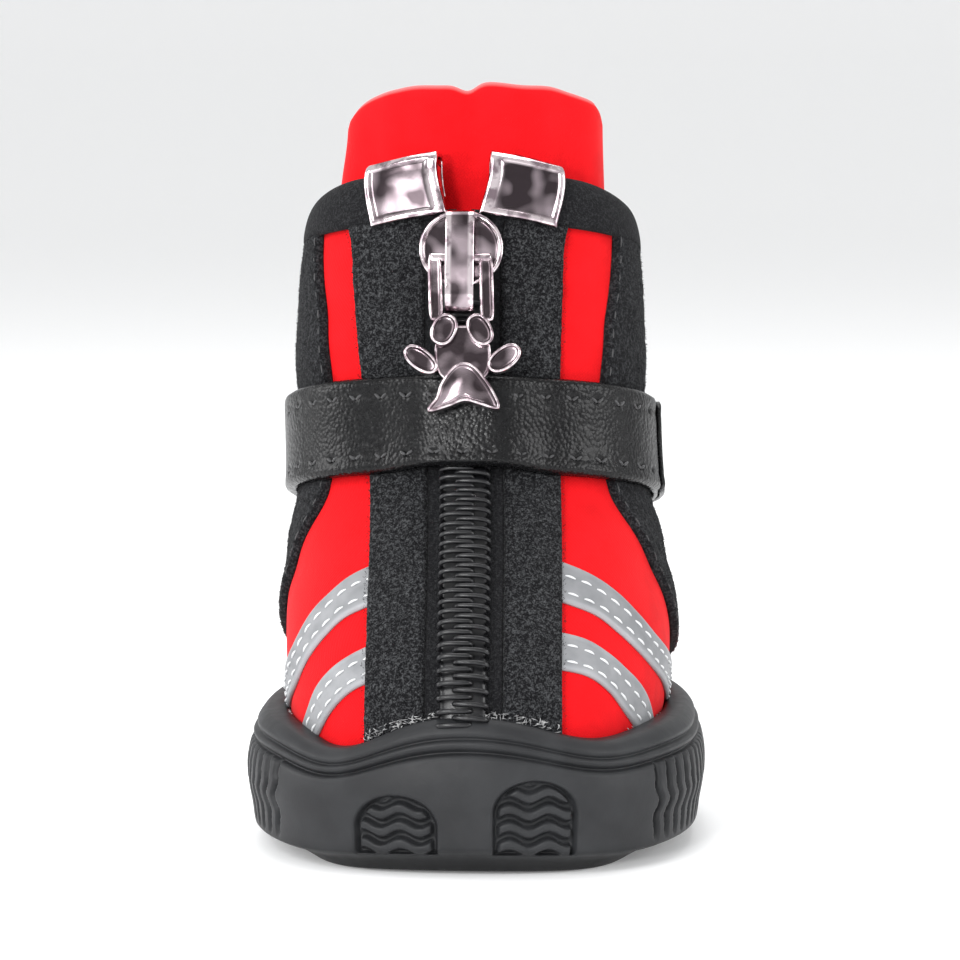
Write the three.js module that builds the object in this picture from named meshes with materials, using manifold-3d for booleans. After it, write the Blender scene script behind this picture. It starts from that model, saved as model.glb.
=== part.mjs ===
// Dog boot, one of a pair that fits any paw.
// Millimetres, +Z up, toe towards -Y. The origin is on the floor under the middle of the sole.
import * as THREE from 'three';
import { mergeVertices } from 'three/addons/utils/BufferGeometryUtils.js';
import Module from 'manifold-3d';

const wasm = await Module();
wasm.setup();

// Driving sizes of the sole
const soleLength = 70;
const soleWidth = 54.4;
const treadThickness = 4.5;
const randHeight = 16;
const toePeakRise = 2.6;
const toeSpring = 0.7;
const heelSpring = 0.9;
const archRise = 0.8;
const flankBevel = 1.4;
const grooveDepth = 1.6;
const grooveWidth = 1.8;
const groovePitch = 8.6;
const toePocketWidth = 10;
const toePocketBottom = 2.3;
const toePocketDepth = 1.8;
const toeRidgeWidth = 0.8;
const toeRidgeWave = 0.45;
const flankRibPitch = 2.9;
const flankRibCount = 8;
const flankRibDepth = 0.9;
const flankRibWidth = 1.1;
const insoleThickness = 2.8;

// Driving sizes of the upper
const wall = 2;
const rimHeight = 78.2;
const ballWidth = 45.8;
const toeReach = 30.9;
const heelReach = 31.6;
const collarLean = 1.7;
const openingPeak = 1.4;
const openingPeakReach = 8;
const slitWidth = 3;
const slitTopWidth = 6.4;
const sleeveRise = 11;
const sleeveLap = 2;
const sleeveWall = 2;
const sleeveDroop = 2.6;
const sleeveSideInset = 2.7;
const sleeveEndInset = 4.3;

// Driving sizes of what is sewn and fastened on
const gap = 0.3;
const panelGap = 0.45;
const overlay = 0.8;
const stripInner = 4.3;
const stripWidth = 7;
const stripFlareRight = 2.2;
const stripFlareLeft = 0.7;
const tapeThickness = 0.5;
const coilWidth = 6.2;
const coilHeight = 1.7;
const coilPitch = 1.6;
const bindingWidth = 7;
const bindingThickness = 1;
const tipWidth = 8.3;
const tipThickness = 0.6;
const strapBottom = 43;
const strapWidth = 11.6;
const strapThickness = 1.3;
const strapEdge = 0.7;
const strapTailRound = 1.2;
const loopWidth = 12;
const loopThickness = 0.8;
const loopRise = 15;
const loopHold = 3;
const loopBow = 2.6;

// Driving sizes of the slider and its pull
const sliderHeight = 69;
const sliderWidth = 9.9;
const sliderLength = 8.4;
const sliderThickness = 1.2;
const flangeThickness = 0.9;
const bridgeWidth = 3;
const bridgeTop = 3.4;
const bridgeLength = 11.3;
const bridgeThickness = 1;
const forkWidth = 7.6;
const forkLength = 8.2;
const forkArm = 1.5;
const forkThickness = 1.1;
const pinRadius = 0.6;
const pullTilt = 5;
const pawDrop = 15;
const pawThickness = 1.2;
const pawRecess = 0.4;
const pawRim = 0.55;

const rubber = new THREE.MeshStandardMaterial({ color: 0x26262a, roughness: 0.62 });
const neoprene = new THREE.MeshStandardMaterial({ color: 0xf01f1c, roughness: 0.85 });
const blackKnit = new THREE.MeshStandardMaterial({ color: 0x17171a, roughness: 0.95 });
const blackLeather = new THREE.MeshStandardMaterial({ color: 0x121214, roughness: 0.45 });
const blackPlastic = new THREE.MeshStandardMaterial({ color: 0x131316, roughness: 0.5 });
const reflective = new THREE.MeshStandardMaterial({ color: 0x9b9ba0, roughness: 0.55 });
const silverMesh = new THREE.MeshStandardMaterial({ color: 0xc3c5ca, roughness: 0.6 });
const foam = new THREE.MeshStandardMaterial({ color: 0x2b2b2e, roughness: 0.95 });
const chrome = new THREE.MeshStandardMaterial({ color: 0xb9a9ad, roughness: 0.2, metalness: 1 });

const boot = new THREE.Group();

// Sections of the upper, from its bottom edge to the top of the sleeve. Each is a tilted oval:
// front and back are its heights at the toe and heel side, as shares of rimHeight; half is a share of
// half ballWidth; toe, heel and widest are shares of toeReach and heelReach along Y; round is the
// oval's exponent, where 2 is an ellipse and more is squarer; lean is a share of collarLean.
const sections = [
  { front: 0.061, back: 0.061, half: 0.943, toe: -0.977, heel: 0.962, widest: -0.09, round: 2.5, lean: 0 },
  { front: 0.141, back: 0.141, half: 0.956, toe: -1, heel: 0.981, widest: -0.09, round: 2.5, lean: 0 },
  { front: 0.217, back: 0.198, half: 0.974, toe: -1, heel: 0.987, widest: -0.06, round: 2.45, lean: 0 },
  { front: 0.294, back: 0.253, half: 1, toe: -0.926, heel: 0.987, widest: 0, round: 2.4, lean: 0.05 },
  { front: 0.384, back: 0.307, half: 0.996, toe: -0.731, heel: 0.981, widest: 0.08, round: 2.35, lean: 0.2 },
  { front: 0.473, back: 0.371, half: 0.943, toe: -0.505, heel: 0.975, widest: 0.16, round: 2.3, lean: 0.4 },
  { front: 0.563, back: 0.442, half: 0.886, toe: -0.324, heel: 0.968, widest: 0.25, round: 2.3, lean: 0.65 },
  { front: 0.71, back: 0.588, half: 0.878, toe: -0.246, heel: 0.968, widest: 0.32, round: 2.35, lean: 0.9 },
  { front: 0.857, back: 0.746, half: 0.873, toe: -0.155, heel: 0.981, widest: 0.38, round: 2.4, lean: 1 },
  { front: 1, back: 0.895, half: 0.821, toe: -0.065, heel: 1, widest: 0.43, round: 2.4, lean: 1 },
  { front: 1.176, back: 1.102, half: 0.812, toe: -0.032, heel: 1, widest: 0.45, round: 2.35, lean: 1 },
];
const ballHalf = ballWidth / 2;
const scales = {
  front: rimHeight,
  back: rimHeight,
  half: ballHalf,
  toe: toeReach,
  heel: heelReach,
  widest: heelReach,
  round: 1,
  lean: -collarLean,
};

// Smooth curve through a column of the table at a height on the front centre line.
function column(name, height) {
  const at = height / rimHeight;
  let row = 0;
  while (row < sections.length - 2 && sections[row + 1].front < at) row += 1;
  const low = sections[row];
  const high = sections[row + 1];
  const before = sections[Math.max(row - 1, 0)];
  const after = sections[Math.min(row + 2, sections.length - 1)];
  const span = high.front - low.front;
  const lowSlope = ((high[name] - before[name]) / (high.front - before.front)) * span;
  const highSlope = ((after[name] - low[name]) / (after.front - low.front)) * span;
  const t = (at - low.front) / span;
  if (t < 0 || t > 1) {
    const straight = t < 0 ? lowSlope * t : highSlope * (t - 1);
    return ((t < 0 ? low[name] : high[name]) + straight) * scales[name];
  }
  const value =
    low[name] * (1 + 2 * t) * (1 - t) ** 2 +
    lowSlope * t * (1 - t) ** 2 +
    high[name] * t * t * (3 - 2 * t) -
    highSlope * t * t * (1 - t);
  return value * scales[name];
}

// Half of an oval from the middle of the front round to the middle of the back, with its running length.
function halfOval(half, toe, heel, widest, toeRound, heelRound) {
  const steps = 180;
  const path = [];
  let run = 0;
  for (let i = 0; i <= steps; i += 1) {
    const turn = (Math.PI * i) / steps;
    const ahead = i <= steps / 2;
    const power = 2 / (ahead ? toeRound : heelRound);
    const reach = ahead ? toe - widest : heel - widest;
    const x = half * Math.abs(Math.sin(turn)) ** power;
    const y = widest + reach * Math.abs(Math.cos(turn)) ** power;
    if (i > 0) run += Math.hypot(x - path[i - 1].x, y - path[i - 1].y);
    path.push({ x, y, run });
  }
  return path;
}

// Point on a half oval at a share of its length.
function along(path, share) {
  const want = Math.abs(share) * path[path.length - 1].run;
  let low = 0;
  let high = path.length - 1;
  while (high - low > 1) {
    const middle = (low + high) >> 1;
    if (path[middle].run <= want) low = middle;
    else high = middle;
  }
  const part = (want - path[low].run) / (path[high].run - path[low].run);
  return {
    x: THREE.MathUtils.lerp(path[low].x, path[high].x, part),
    y: THREE.MathUtils.lerp(path[low].y, path[high].y, part),
  };
}

const sectionStore = new Map();
function sectionAt(height) {
  const key = height.toFixed(5);
  if (!sectionStore.has(key)) {
    const section = {};
    for (const name of Object.keys(scales)) section[name] = column(name, height);
    const { half, toe, heel, widest, round } = section;
    section.path = halfOval(half, toe, heel, widest, round, round);
    section.girth = section.path[section.path.length - 1].run;
    sectionStore.set(key, section);
  }
  return sectionStore.get(key);
}

// The upper's outer face. share runs from 0 at the front centre line to 1 at the back on the +X side,
// and to -1 on the -X side; height is the height of its section on the front centre line.
function facePoint(share, height) {
  const wrapped = share > 1 ? share - 2 : share < -1 ? share + 2 : share;
  const section = sectionAt(height);
  const { x, y } = along(section.path, wrapped);
  const back = (y - section.toe) / (section.heel - section.toe);
  const around = wrapped * section.girth;
  const crest = openingPeak * Math.exp(-((around / openingPeakReach) ** 2));
  const rise = THREE.MathUtils.smoothstep(height, rimHeight - 2 * bindingWidth, rimHeight);
  const fall = THREE.MathUtils.smoothstep(height, rimHeight + 3, rimHeight + sleeveRise);
  const raise = crest * rise * (1 - fall);
  return new THREE.Vector3(
    section.lean + Math.sign(wrapped) * x,
    y,
    THREE.MathUtils.lerp(section.front, section.back, back) + raise,
  );
}

function faceNormal(share, height) {
  const step = 0.004;
  const rise = 0.15;
  const across = facePoint(share + step, height).sub(facePoint(share - step, height));
  const up = facePoint(share, height + rise).sub(facePoint(share, height - rise));
  return across.cross(up).normalize();
}

function skin(share, height, off) {
  return facePoint(share, height).addScaledVector(faceNormal(share, height), off);
}

// Millimetres round from the front centre line, as a share.
function round(mm, height) {
  return mm / sectionAt(height).girth;
}

function slitHalf(height) {
  const flare = THREE.MathUtils.smoothstep(height, sliderHeight, rimHeight);
  return THREE.MathUtils.lerp(slitWidth, slitTopWidth, flare) / 2;
}

function geometryFrom(points, triangles) {
  const geometry = new THREE.BufferGeometry();
  geometry.setAttribute('position', new THREE.Float32BufferAttribute(points.flatMap((p) => [p.x, p.y, p.z]), 3));
  let volume = 0;
  for (const [a, b, c] of triangles) {
    volume += points[a].dot(new THREE.Vector3().crossVectors(points[b], points[c]));
  }
  const outward = volume > 0 ? triangles : triangles.map(([a, b, c]) => [a, c, b]);
  geometry.setIndex(outward.flat());
  return geometry;
}

// A section of points carried through stations. Rings close on themselves; others get flat ends.
function sweep(stations, closed) {
  const points = stations.flat();
  const count = stations[0].length;
  const triangles = [];
  const spans = closed ? stations.length : stations.length - 1;
  for (let i = 0; i < spans; i += 1) {
    const next = (i + 1) % stations.length;
    for (let j = 0; j < count; j += 1) {
      const a = i * count + j;
      const b = i * count + ((j + 1) % count);
      const c = next * count + ((j + 1) % count);
      const d = next * count + j;
      triangles.push([a, b, c], [a, c, d]);
    }
  }
  if (!closed) {
    const last = (stations.length - 1) * count;
    const flat = stations[0];
    const origin = flat[0];
    const normal = new THREE.Vector3();
    for (let j = 1; j < count - 1; j += 1) {
      normal.add(flat[j].clone().sub(origin).cross(flat[j + 1].clone().sub(origin)));
    }
    normal.normalize();
    const right = flat[1].clone().sub(origin).normalize();
    const up = new THREE.Vector3().crossVectors(normal, right);
    const outline = flat.map((p) => {
      const from = p.clone().sub(origin);
      return new THREE.Vector2(from.dot(right), from.dot(up));
    });
    for (const [a, b, c] of THREE.ShapeUtils.triangulateShape(outline, [])) {
      triangles.push([a, c, b], [last + a, last + b, last + c]);
    }
  }
  return geometryFrom(points, triangles);
}

// A sheet with an outer and an inner face; place(column, row, layer) gives its points.
function sheet(columns, rows, place, closed) {
  const points = [];
  const triangles = [];
  const across = closed ? columns : columns + 1;
  const at = (i, j, layer) => (layer * (rows + 1) + j) * across + (i % across);
  for (const layer of [0, 1]) {
    for (let j = 0; j <= rows; j += 1) {
      for (let i = 0; i < across; i += 1) points.push(place(i / columns, j / rows, layer));
    }
  }
  const quad = (a, b, c, d) => triangles.push([a, b, c], [a, c, d]);
  for (let i = 0; i < columns; i += 1) {
    for (let j = 0; j < rows; j += 1) {
      quad(at(i, j, 0), at(i + 1, j, 0), at(i + 1, j + 1, 0), at(i, j + 1, 0));
      quad(at(i, j + 1, 1), at(i + 1, j + 1, 1), at(i + 1, j, 1), at(i, j, 1));
    }
    quad(at(i, 0, 1), at(i + 1, 0, 1), at(i + 1, 0, 0), at(i, 0, 0));
    quad(at(i, rows, 0), at(i + 1, rows, 0), at(i + 1, rows, 1), at(i, rows, 1));
  }
  for (let j = 0; j < rows && !closed; j += 1) {
    quad(at(0, j, 0), at(0, j + 1, 0), at(0, j + 1, 1), at(0, j, 1));
    quad(at(columns, j + 1, 0), at(columns, j, 0), at(columns, j, 1), at(columns, j + 1, 1));
  }
  return geometryFrom(points, triangles);
}

function solidOf(geometry) {
  const bare = geometry.clone();
  bare.deleteAttribute('normal');
  bare.deleteAttribute('uv');
  const merged = mergeVertices(bare, 1e-4);
  const vertProperties = new Float32Array(merged.attributes.position.array);
  const triVerts = new Uint32Array(merged.index.array);
  return new wasm.Manifold(new wasm.Mesh({ numProp: 3, vertProperties, triVerts }));
}

function geometryOf(solid) {
  const mesh = solid.getMesh();
  const geometry = new THREE.BufferGeometry();
  geometry.setAttribute('position', new THREE.Float32BufferAttribute(mesh.vertProperties, 3));
  geometry.setIndex(Array.from(mesh.triVerts));
  return geometry;
}

function add(name, geometry, material) {
  const mesh = new THREE.Mesh(geometry, material);
  mesh.name = name;
  boot.add(mesh);
}

const sides = [
  { side: -1, word: 'right_side', stripFlare: stripFlareRight },
  { side: 1, word: 'left_side', stripFlare: stripFlareLeft },
];

// Upper: one hollow wall from the sole to the rim, slit down the front for the zip.
const upperBottom = sections[0].front * rimHeight;
const upperRows = 13;
const upperColumns = 38;
add(
  'upper',
  sheet(upperColumns, upperRows, (i, j, layer) => {
    const height = THREE.MathUtils.lerp(upperBottom, rimHeight, j);
    const edge = round(slitHalf(height), height);
    return skin(THREE.MathUtils.lerp(edge, 2 - edge, i), height, -wall * layer);
  }),
  neoprene,
);

// Sleeve: a narrower tube inside the collar, standing above the rim. Its corner on the right droops.
const sleeveBottom = strapBottom + strapWidth + sleeveLap;
const sleeveTop = rimHeight + sleeveRise;
function sleeveOff(share, height) {
  const drawn = THREE.MathUtils.smoothstep(height, sleeveBottom + 6, rimHeight - 4);
  const fromSide = Math.abs(Math.abs(share > 1 ? share - 2 : share) - 0.5);
  const end = THREE.MathUtils.smoothstep(fromSide, 0.1, 0.26);
  const inset = THREE.MathUtils.lerp(sleeveSideInset, sleeveEndInset, end);
  return -THREE.MathUtils.lerp(wall + gap, inset, drawn);
}
const sleeveRows = 6;
const sleeveColumns = 30;
add(
  'sleeve',
  sheet(
    sleeveColumns,
    sleeveRows,
    (i, j, layer) => {
      const share = 2 * i - 1;
      const corner = THREE.MathUtils.smoothstep(-share, 0.2, 0.46) * (1 - THREE.MathUtils.smoothstep(-share, 0.55, 0.8));
      const height = THREE.MathUtils.lerp(sleeveBottom, sleeveTop - sleeveDroop * corner, j);
      return skin(share, height, sleeveOff(share, height) - sleeveWall * layer);
    },
    true,
  ),
  neoprene,
);

// Outsole. Its outline in plan, from the middle of the toe round to the middle of the heel.
const soleHalf = soleWidth / 2;
const soleFront = -soleLength / 2;
const soleWidest = -0.07 * soleLength;
const solePath = halfOval(soleHalf, soleFront, soleLength / 2, soleWidest, 2.45, 2.3);
const soleRun = solePath[solePath.length - 1].run;

function soleOutline(share) {
  const wrapped = share > 1 ? share - 2 : share;
  const { x, y } = along(solePath, wrapped);
  return new THREE.Vector2(Math.sign(wrapped) * x, y);
}

function soleNormal(share) {
  const step = 0.004;
  const ahead = soleOutline(share + step).sub(soleOutline(share - step)).normalize();
  return new THREE.Vector2(ahead.y, -ahead.x);
}

// Height of the underside above the floor: toe spring, arch and heel spring, with two flat stretches.
const toeFlatStart = soleFront + 0.16 * soleLength;
const heelFlatEnd = 0.37 * soleLength;
const archMiddle = 0.06 * soleLength;
const archReach = 0.12 * soleLength;
function underside(y) {
  const toe = toeSpring * (Math.max(toeFlatStart - y, 0) / (toeFlatStart - soleFront)) ** 2;
  const heel = heelSpring * (Math.max(y - heelFlatEnd, 0) / (soleLength / 2 - heelFlatEnd)) ** 2;
  const arch = archRise * Math.max(1 - ((y - archMiddle) / archReach) ** 2, 0);
  return toe + heel + arch;
}

// Profile of the outsole's side, from the floor up: inset from the outline and height as a share of
// the rand's height. The last rows are the rim band, a groove between two ridges.
const sideProfile = [
  { inset: 7.4, height: 0 },
  { inset: 4.6, height: 0.04 },
  { inset: 2.2, height: 0.15 },
  { inset: 0.5, height: 0.36 },
  { inset: 0, height: 0.6 },
  { inset: 0.6, height: 0.76 },
  { inset: 1.5, height: 0.79 },
  { inset: 1, height: 0.83 },
  { inset: 1.2, height: 0.89 },
  { inset: 1.8, height: 0.91 },
  { inset: 1.7, height: 0.97 },
  { inset: 2.2, height: 1 },
];

function randTop(share) {
  const around = Math.abs(share > 1 ? share - 2 : share) * soleRun;
  return randHeight + toePeakRise * Math.exp(-((around / (0.2 * soleLength)) ** 2));
}

const soleStations = 36;
const undersideRings = [0.25, 0.55, 0.85];
const cupRows = [0.86, 0.6];
function soleRings() {
  const rings = [];
  const shares = Array.from({ length: soleStations }, (_, i) => (2 * i) / soleStations - 1 + 1e-6);
  const sidePoint = (share, row) => {
    const flank = THREE.MathUtils.smoothstep(Math.abs(share), 0.12, 0.35);
    const bevel = row.height < 0.5 ? THREE.MathUtils.lerp(1, flankBevel, flank) : 1;
    const edge = soleOutline(share).addScaledVector(soleNormal(share), -row.inset * bevel);
    const lift = underside(edge.y) * (1 - row.height);
    return new THREE.Vector3(edge.x, edge.y, row.height * randTop(share) + lift);
  };
  for (const scale of undersideRings) {
    rings.push(
      shares.map((share) => {
        const edge = sidePoint(share, sideProfile[0]);
        return new THREE.Vector3(edge.x * scale, edge.y * scale, underside(edge.y * scale));
      }),
    );
  }
  for (const row of sideProfile) rings.push(shares.map((share) => sidePoint(share, row)));
  const inside = (share, height) => {
    const face = skin(share, Math.max(height, upperBottom), gap);
    return new THREE.Vector3(face.x, face.y, height);
  };
  rings.push(shares.map((share) => inside(share, randTop(share) - 0.25)));
  for (const part of cupRows) rings.push(shares.map((share) => inside(share, part * randTop(share))));
  rings.push(shares.map((share) => inside(share, treadThickness)));
  return rings;
}

function closedStack(rings, bottom, top) {
  const count = rings[0].length;
  const points = rings.flat();
  const triangles = [];
  for (let k = 0; k < rings.length - 1; k += 1) {
    for (let i = 0; i < count; i += 1) {
      const a = k * count + i;
      const b = k * count + ((i + 1) % count);
      triangles.push([a, b, b + count], [a, b + count, a + count]);
    }
  }
  const last = (rings.length - 1) * count;
  const low = points.push(bottom) - 1;
  const high = points.push(top) - 1;
  for (let i = 0; i < count; i += 1) {
    const next = (i + 1) % count;
    triangles.push([low, next, i], [high, last + i, last + next]);
  }
  return geometryFrom(points, triangles);
}

// A wavy bar across X, as a shape in the XY plane.
function wavyBar(length, width, wave, waves) {
  const steps = waves * 3;
  const line = (side) =>
    Array.from({ length: steps + 1 }, (_, i) => {
      const x = (i / steps - 0.5) * length;
      return new THREE.Vector2(x, wave * Math.sin((i / steps) * waves * 2 * Math.PI) + (side * width) / 2);
    });
  return new THREE.Shape([...line(-1), ...line(1).reverse()]);
}

function extrude(shape, depth, segments = 10) {
  return new THREE.ExtrudeGeometry(shape, { depth, bevelEnabled: false, curveSegments: segments });
}

// How far a cutter reaches past the surface it cuts.
const cutPast = 4;

// D-shaped pocket with an arched top and three wavy ridges left standing in it.
function toePocket(tall) {
  const half = toePocketWidth / 2;
  const arch = Math.min(half, 0.8 * tall);
  const shape = new THREE.Shape();
  shape.moveTo(-half, 0);
  shape.lineTo(half, 0);
  shape.lineTo(half, tall - arch);
  shape.absellipse(0, tall - arch, half, arch, 0, Math.PI, false);
  let cutter = solidOf(extrude(shape, toePocketDepth + cutPast, 5).translate(0, 0, -toePocketDepth));
  for (const step of [1, 2, 3]) {
    const bar = wavyBar(toePocketWidth + cutPast, toeRidgeWidth, toeRidgeWave, 2);
    const ridge = extrude(bar, 0.7 * toePocketDepth + cutPast)
      .translate(0, (step * tall) / 4, -toePocketDepth - cutPast);
    cutter = cutter.subtract(solidOf(ridge));
  }
  return cutter;
}

// Turns a cutter drawn in XY, with Z outward, to stand on the sole's side.
function onSole(cutter, share, height) {
  const edge = soleOutline(share);
  const out = soleNormal(share);
  const placed = new THREE.Matrix4().makeBasis(
    new THREE.Vector3(-out.y, out.x, 0),
    new THREE.Vector3(0, 0, 1),
    new THREE.Vector3(out.x, out.y, 0),
  );
  placed.setPosition(edge.x, edge.y, height);
  return cutter.transform(placed.elements);
}

let outsole = solidOf(
  closedStack(
    soleRings(),
    new THREE.Vector3(0, 0, underside(0)),
    new THREE.Vector3(0, 0, treadThickness),
  ),
);
// The toe's two pockets: around is the way round from the middle of the toe as a share of soleWidth,
// tall a share of randHeight.
const toePockets = [
  { around: -0.142, tall: 0.43 },
  { around: 0.156, tall: 0.55 },
];
for (const { around, tall } of toePockets) {
  const pocket = onSole(toePocket(tall * randHeight), (around * soleWidth) / soleRun, toePocketBottom);
  outsole = outsole.subtract(pocket);
}

// Upright wavy grooves on both flanks, from this share of the way round to the heel.
const flankRibStart = 0.27;
const flankRib = solidOf(
  extrude(wavyBar(0.56 * randHeight, flankRibWidth, 0.25, 1), flankRibDepth + cutPast)
    .translate(0, 0, -flankRibDepth)
    .rotateZ(Math.PI / 2),
);
for (let i = 0; i < flankRibCount; i += 1) {
  const share = flankRibStart + (i * flankRibPitch) / soleRun;
  for (const { side } of sides) {
    outsole = outsole.subtract(onSole(flankRib, side * share, 0.46 * randHeight));
  }
}

// Wavy tread grooves across the underside, behind a plain toe.
const grooveFirst = soleFront + 1.8 * groovePitch;
const grooveRows = Math.floor((soleLength / 2 - 0.4 * groovePitch - grooveFirst) / groovePitch) + 1;
for (let i = 0; i < grooveRows; i += 1) {
  const y = grooveFirst + groovePitch * i;
  const groove = extrude(wavyBar(soleWidth + cutPast, grooveWidth, 0.6 * grooveWidth, 2), grooveDepth + cutPast)
    .translate(0, y, underside(y) - cutPast);
  outsole = outsole.subtract(solidOf(groove));
}
add('outsole', geometryOf(outsole), rubber);

// Insole: fills the foot inside the upper's wall, just above the outsole's floor.
const insoleBottom = treadThickness + gap;
const insoleColumns = 36;
const insoleRings = [insoleBottom, insoleBottom + insoleThickness].map((height) =>
  Array.from({ length: insoleColumns }, (_, i) => {
    const face = skin((2 * i) / insoleColumns - 1 + 1e-6, Math.max(height, upperBottom), -wall - gap);
    return new THREE.Vector3(face.x, face.y, height);
  }),
);
add(
  'insole',
  closedStack(
    insoleRings,
    new THREE.Vector3(0, 0, insoleBottom),
    new THREE.Vector3(0, 0, insoleBottom + insoleThickness),
  ),
  foam,
);

// Where the overlays end above the rand.
function aboveRand(share) {
  return randTop(share) + 2 * gap;
}

// Front strips and zip tapes, on either side of the slit.
// A strip's outer edge flares from the strap up to the rim.
const stripTop = rimHeight - bindingWidth - gap;
const frontRows = 14;
function frontPiece(side, from, to, flare, thickness, columns) {
  return sheet(columns, frontRows, (i, j, layer) => {
    const across = THREE.MathUtils.lerp(from, to, i);
    const height = THREE.MathUtils.lerp(aboveRand(round(across, randHeight)), stripTop, j);
    const widen = slitHalf(height) - slitWidth / 2;
    const spread = i * flare * THREE.MathUtils.smoothstep(height, strapBottom, stripTop);
    return skin(side * round(across + widen + spread, height), height, gap + thickness * (1 - layer));
  });
}
for (const { side, word, stripFlare } of sides) {
  const strip = frontPiece(side, stripInner, stripInner + stripWidth, stripFlare, overlay, 3);
  add(`front_strip_${word}`, strip, blackKnit);
  add(`zip_tape_${word}`, frontPiece(side, gap, stripInner - gap, 0, tapeThickness, 2), blackKnit);
}

// Zip coil: one bar of meshed teeth down the slit.
const coilOff = gap + tapeThickness + gap;
const coilBottom = aboveRand(0) + gap;
const coilTop = sliderHeight - 0.42 * sliderLength;
function coilStations() {
  const stations = [];
  const half = coilWidth / 2;
  let height = coilBottom;
  let tall = true;
  while (height < coilTop) {
    const scale = tall ? 1 : 0.72;
    const crown = coilOff + coilHeight * scale;
    const section = [
      [-half * (tall ? 1 : 0.9), coilOff],
      [half * (tall ? 1 : 0.9), coilOff],
      [half * 0.95 * (tall ? 1 : 0.9), (coilOff + crown) / 2],
      [half * 0.4, crown],
      [-half * 0.4, crown],
      [-half * 0.95 * (tall ? 1 : 0.9), (coilOff + crown) / 2],
    ];
    const here = height;
    const middle = skin(0, here, 0);
    const out = faceNormal(0, here);
    stations.push(section.map(([x, off]) => middle.clone().add(new THREE.Vector3(x, 0, 0)).addScaledVector(out, off)));
    const up = facePoint(0, here + 0.5).distanceTo(facePoint(0, here)) / 0.5;
    height += coilPitch / 2 / up;
    tall = !tall;
  }
  return stations;
}
add('zip_coil', sweep(coilStations(), false), blackPlastic);

// Reflective stripes on the vamp. Each row is a point of a stripe's middle line: around is a share of the
// way from the front strip's edge to the back, height and half (half the stripe's width) are shares of
// rimHeight. Where a stripe dives into the cup of the sole, its lower edge follows the rand.
const stripeRows = {
  upper_right_side: [
    { around: 0, height: 0.4, half: 0.028 },
    { around: 0.085, height: 0.366, half: 0.031 },
    { around: 0.19, height: 0.288, half: 0.032 },
    { around: 0.31, height: 0.244, half: 0.02 },
  ],
  upper_left_side: [
    { around: 0, height: 0.41, half: 0.028 },
    { around: 0.11, height: 0.37, half: 0.03 },
    { around: 0.22, height: 0.305, half: 0.029 },
    { around: 0.36, height: 0.256, half: 0.022 },
  ],
  lower_right_side: [
    { around: 0, height: 0.296, half: 0.026 },
    { around: 0.06, height: 0.262, half: 0.03 },
    { around: 0.1, height: 0.24, half: 0.02 },
  ],
  lower_left_side: [
    { around: 0, height: 0.314, half: 0.026 },
    { around: 0.08, height: 0.288, half: 0.028 },
    { around: 0.15, height: 0.25, half: 0.026 },
  ],
};
function stripe(side, rows) {
  return sheet(9, 2, (i, j, layer) => {
    const at = i * (rows.length - 1);
    const row = Math.min(Math.floor(at), rows.length - 2);
    const mix = (name) => THREE.MathUtils.lerp(rows[row][name], rows[row + 1][name], at - row);
    const middle = mix('height') * rimHeight;
    const half = mix('half') * rimHeight;
    const edge = round(stripInner + stripWidth + 2 * gap, middle);
    const share = THREE.MathUtils.lerp(edge, 1, mix('around'));
    const low = Math.max(middle - half, aboveRand(share) + 2 * gap);
    const height = THREE.MathUtils.lerp(low, Math.max(middle + half, low + overlay), j);
    return skin(side * share, height, gap + 0.5 * overlay * (1 - layer));
  });
}
for (const { side, word } of sides) {
  for (const name of ['upper', 'lower']) {
    add(`stripe_${name}_${word}`, stripe(side, stripeRows[`${name}_${word}`]), reflective);
  }
}

// Side bands and back panel. Rows give the band's front and back edges as shares of the way round.
const bandRows = [
  { height: 0.25, front: 0.66, back: 0.7 },
  { height: 0.3, front: 0.54, back: 0.62 },
  { height: 0.34, front: 0.47, back: 0.57 },
  { height: 0.38, front: 0.42, back: 0.52 },
  { height: 0.44, front: 0.36, back: 0.47 },
  { height: 0.486, front: 0.316, back: 0.44 },
  { height: 0.54, front: 0.275, back: 0.43 },
  { height: 0.71, front: 0.272, back: 0.44 },
  { height: 0.93, front: 0.33, back: 0.47 },
];
function bandEdge(name, height) {
  const at = height / rimHeight;
  let row = 0;
  while (row < bandRows.length - 2 && bandRows[row + 1].height < at) row += 1;
  const low = bandRows[row];
  const high = bandRows[row + 1];
  const part = THREE.MathUtils.clamp((at - low.height) / (high.height - low.height), 0, 1);
  return THREE.MathUtils.lerp(low[name], high[name], part);
}
const bandBottom = bandRows[0].height * rimHeight;
for (const { side, word } of sides) {
  add(
    `side_band_${word}`,
    sheet(5, frontRows, (i, j, layer) => {
      const height = THREE.MathUtils.lerp(bandBottom, stripTop, j);
      const share = THREE.MathUtils.lerp(bandEdge('front', height), bandEdge('back', height), i);
      return skin(side * share, height, gap + overlay * (1 - layer));
    }),
    blackKnit,
  );
}
add(
  'back_panel',
  sheet(18, 9, (i, j, layer) => {
    const height = THREE.MathUtils.lerp(bandBottom, stripTop, j);
    const edge = bandEdge('back', height) + round(panelGap, height);
    return skin(THREE.MathUtils.lerp(edge, 2 - edge, i), height, panelGap + 0.5 * overlay * (1 - layer));
  }),
  silverMesh,
);

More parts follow.
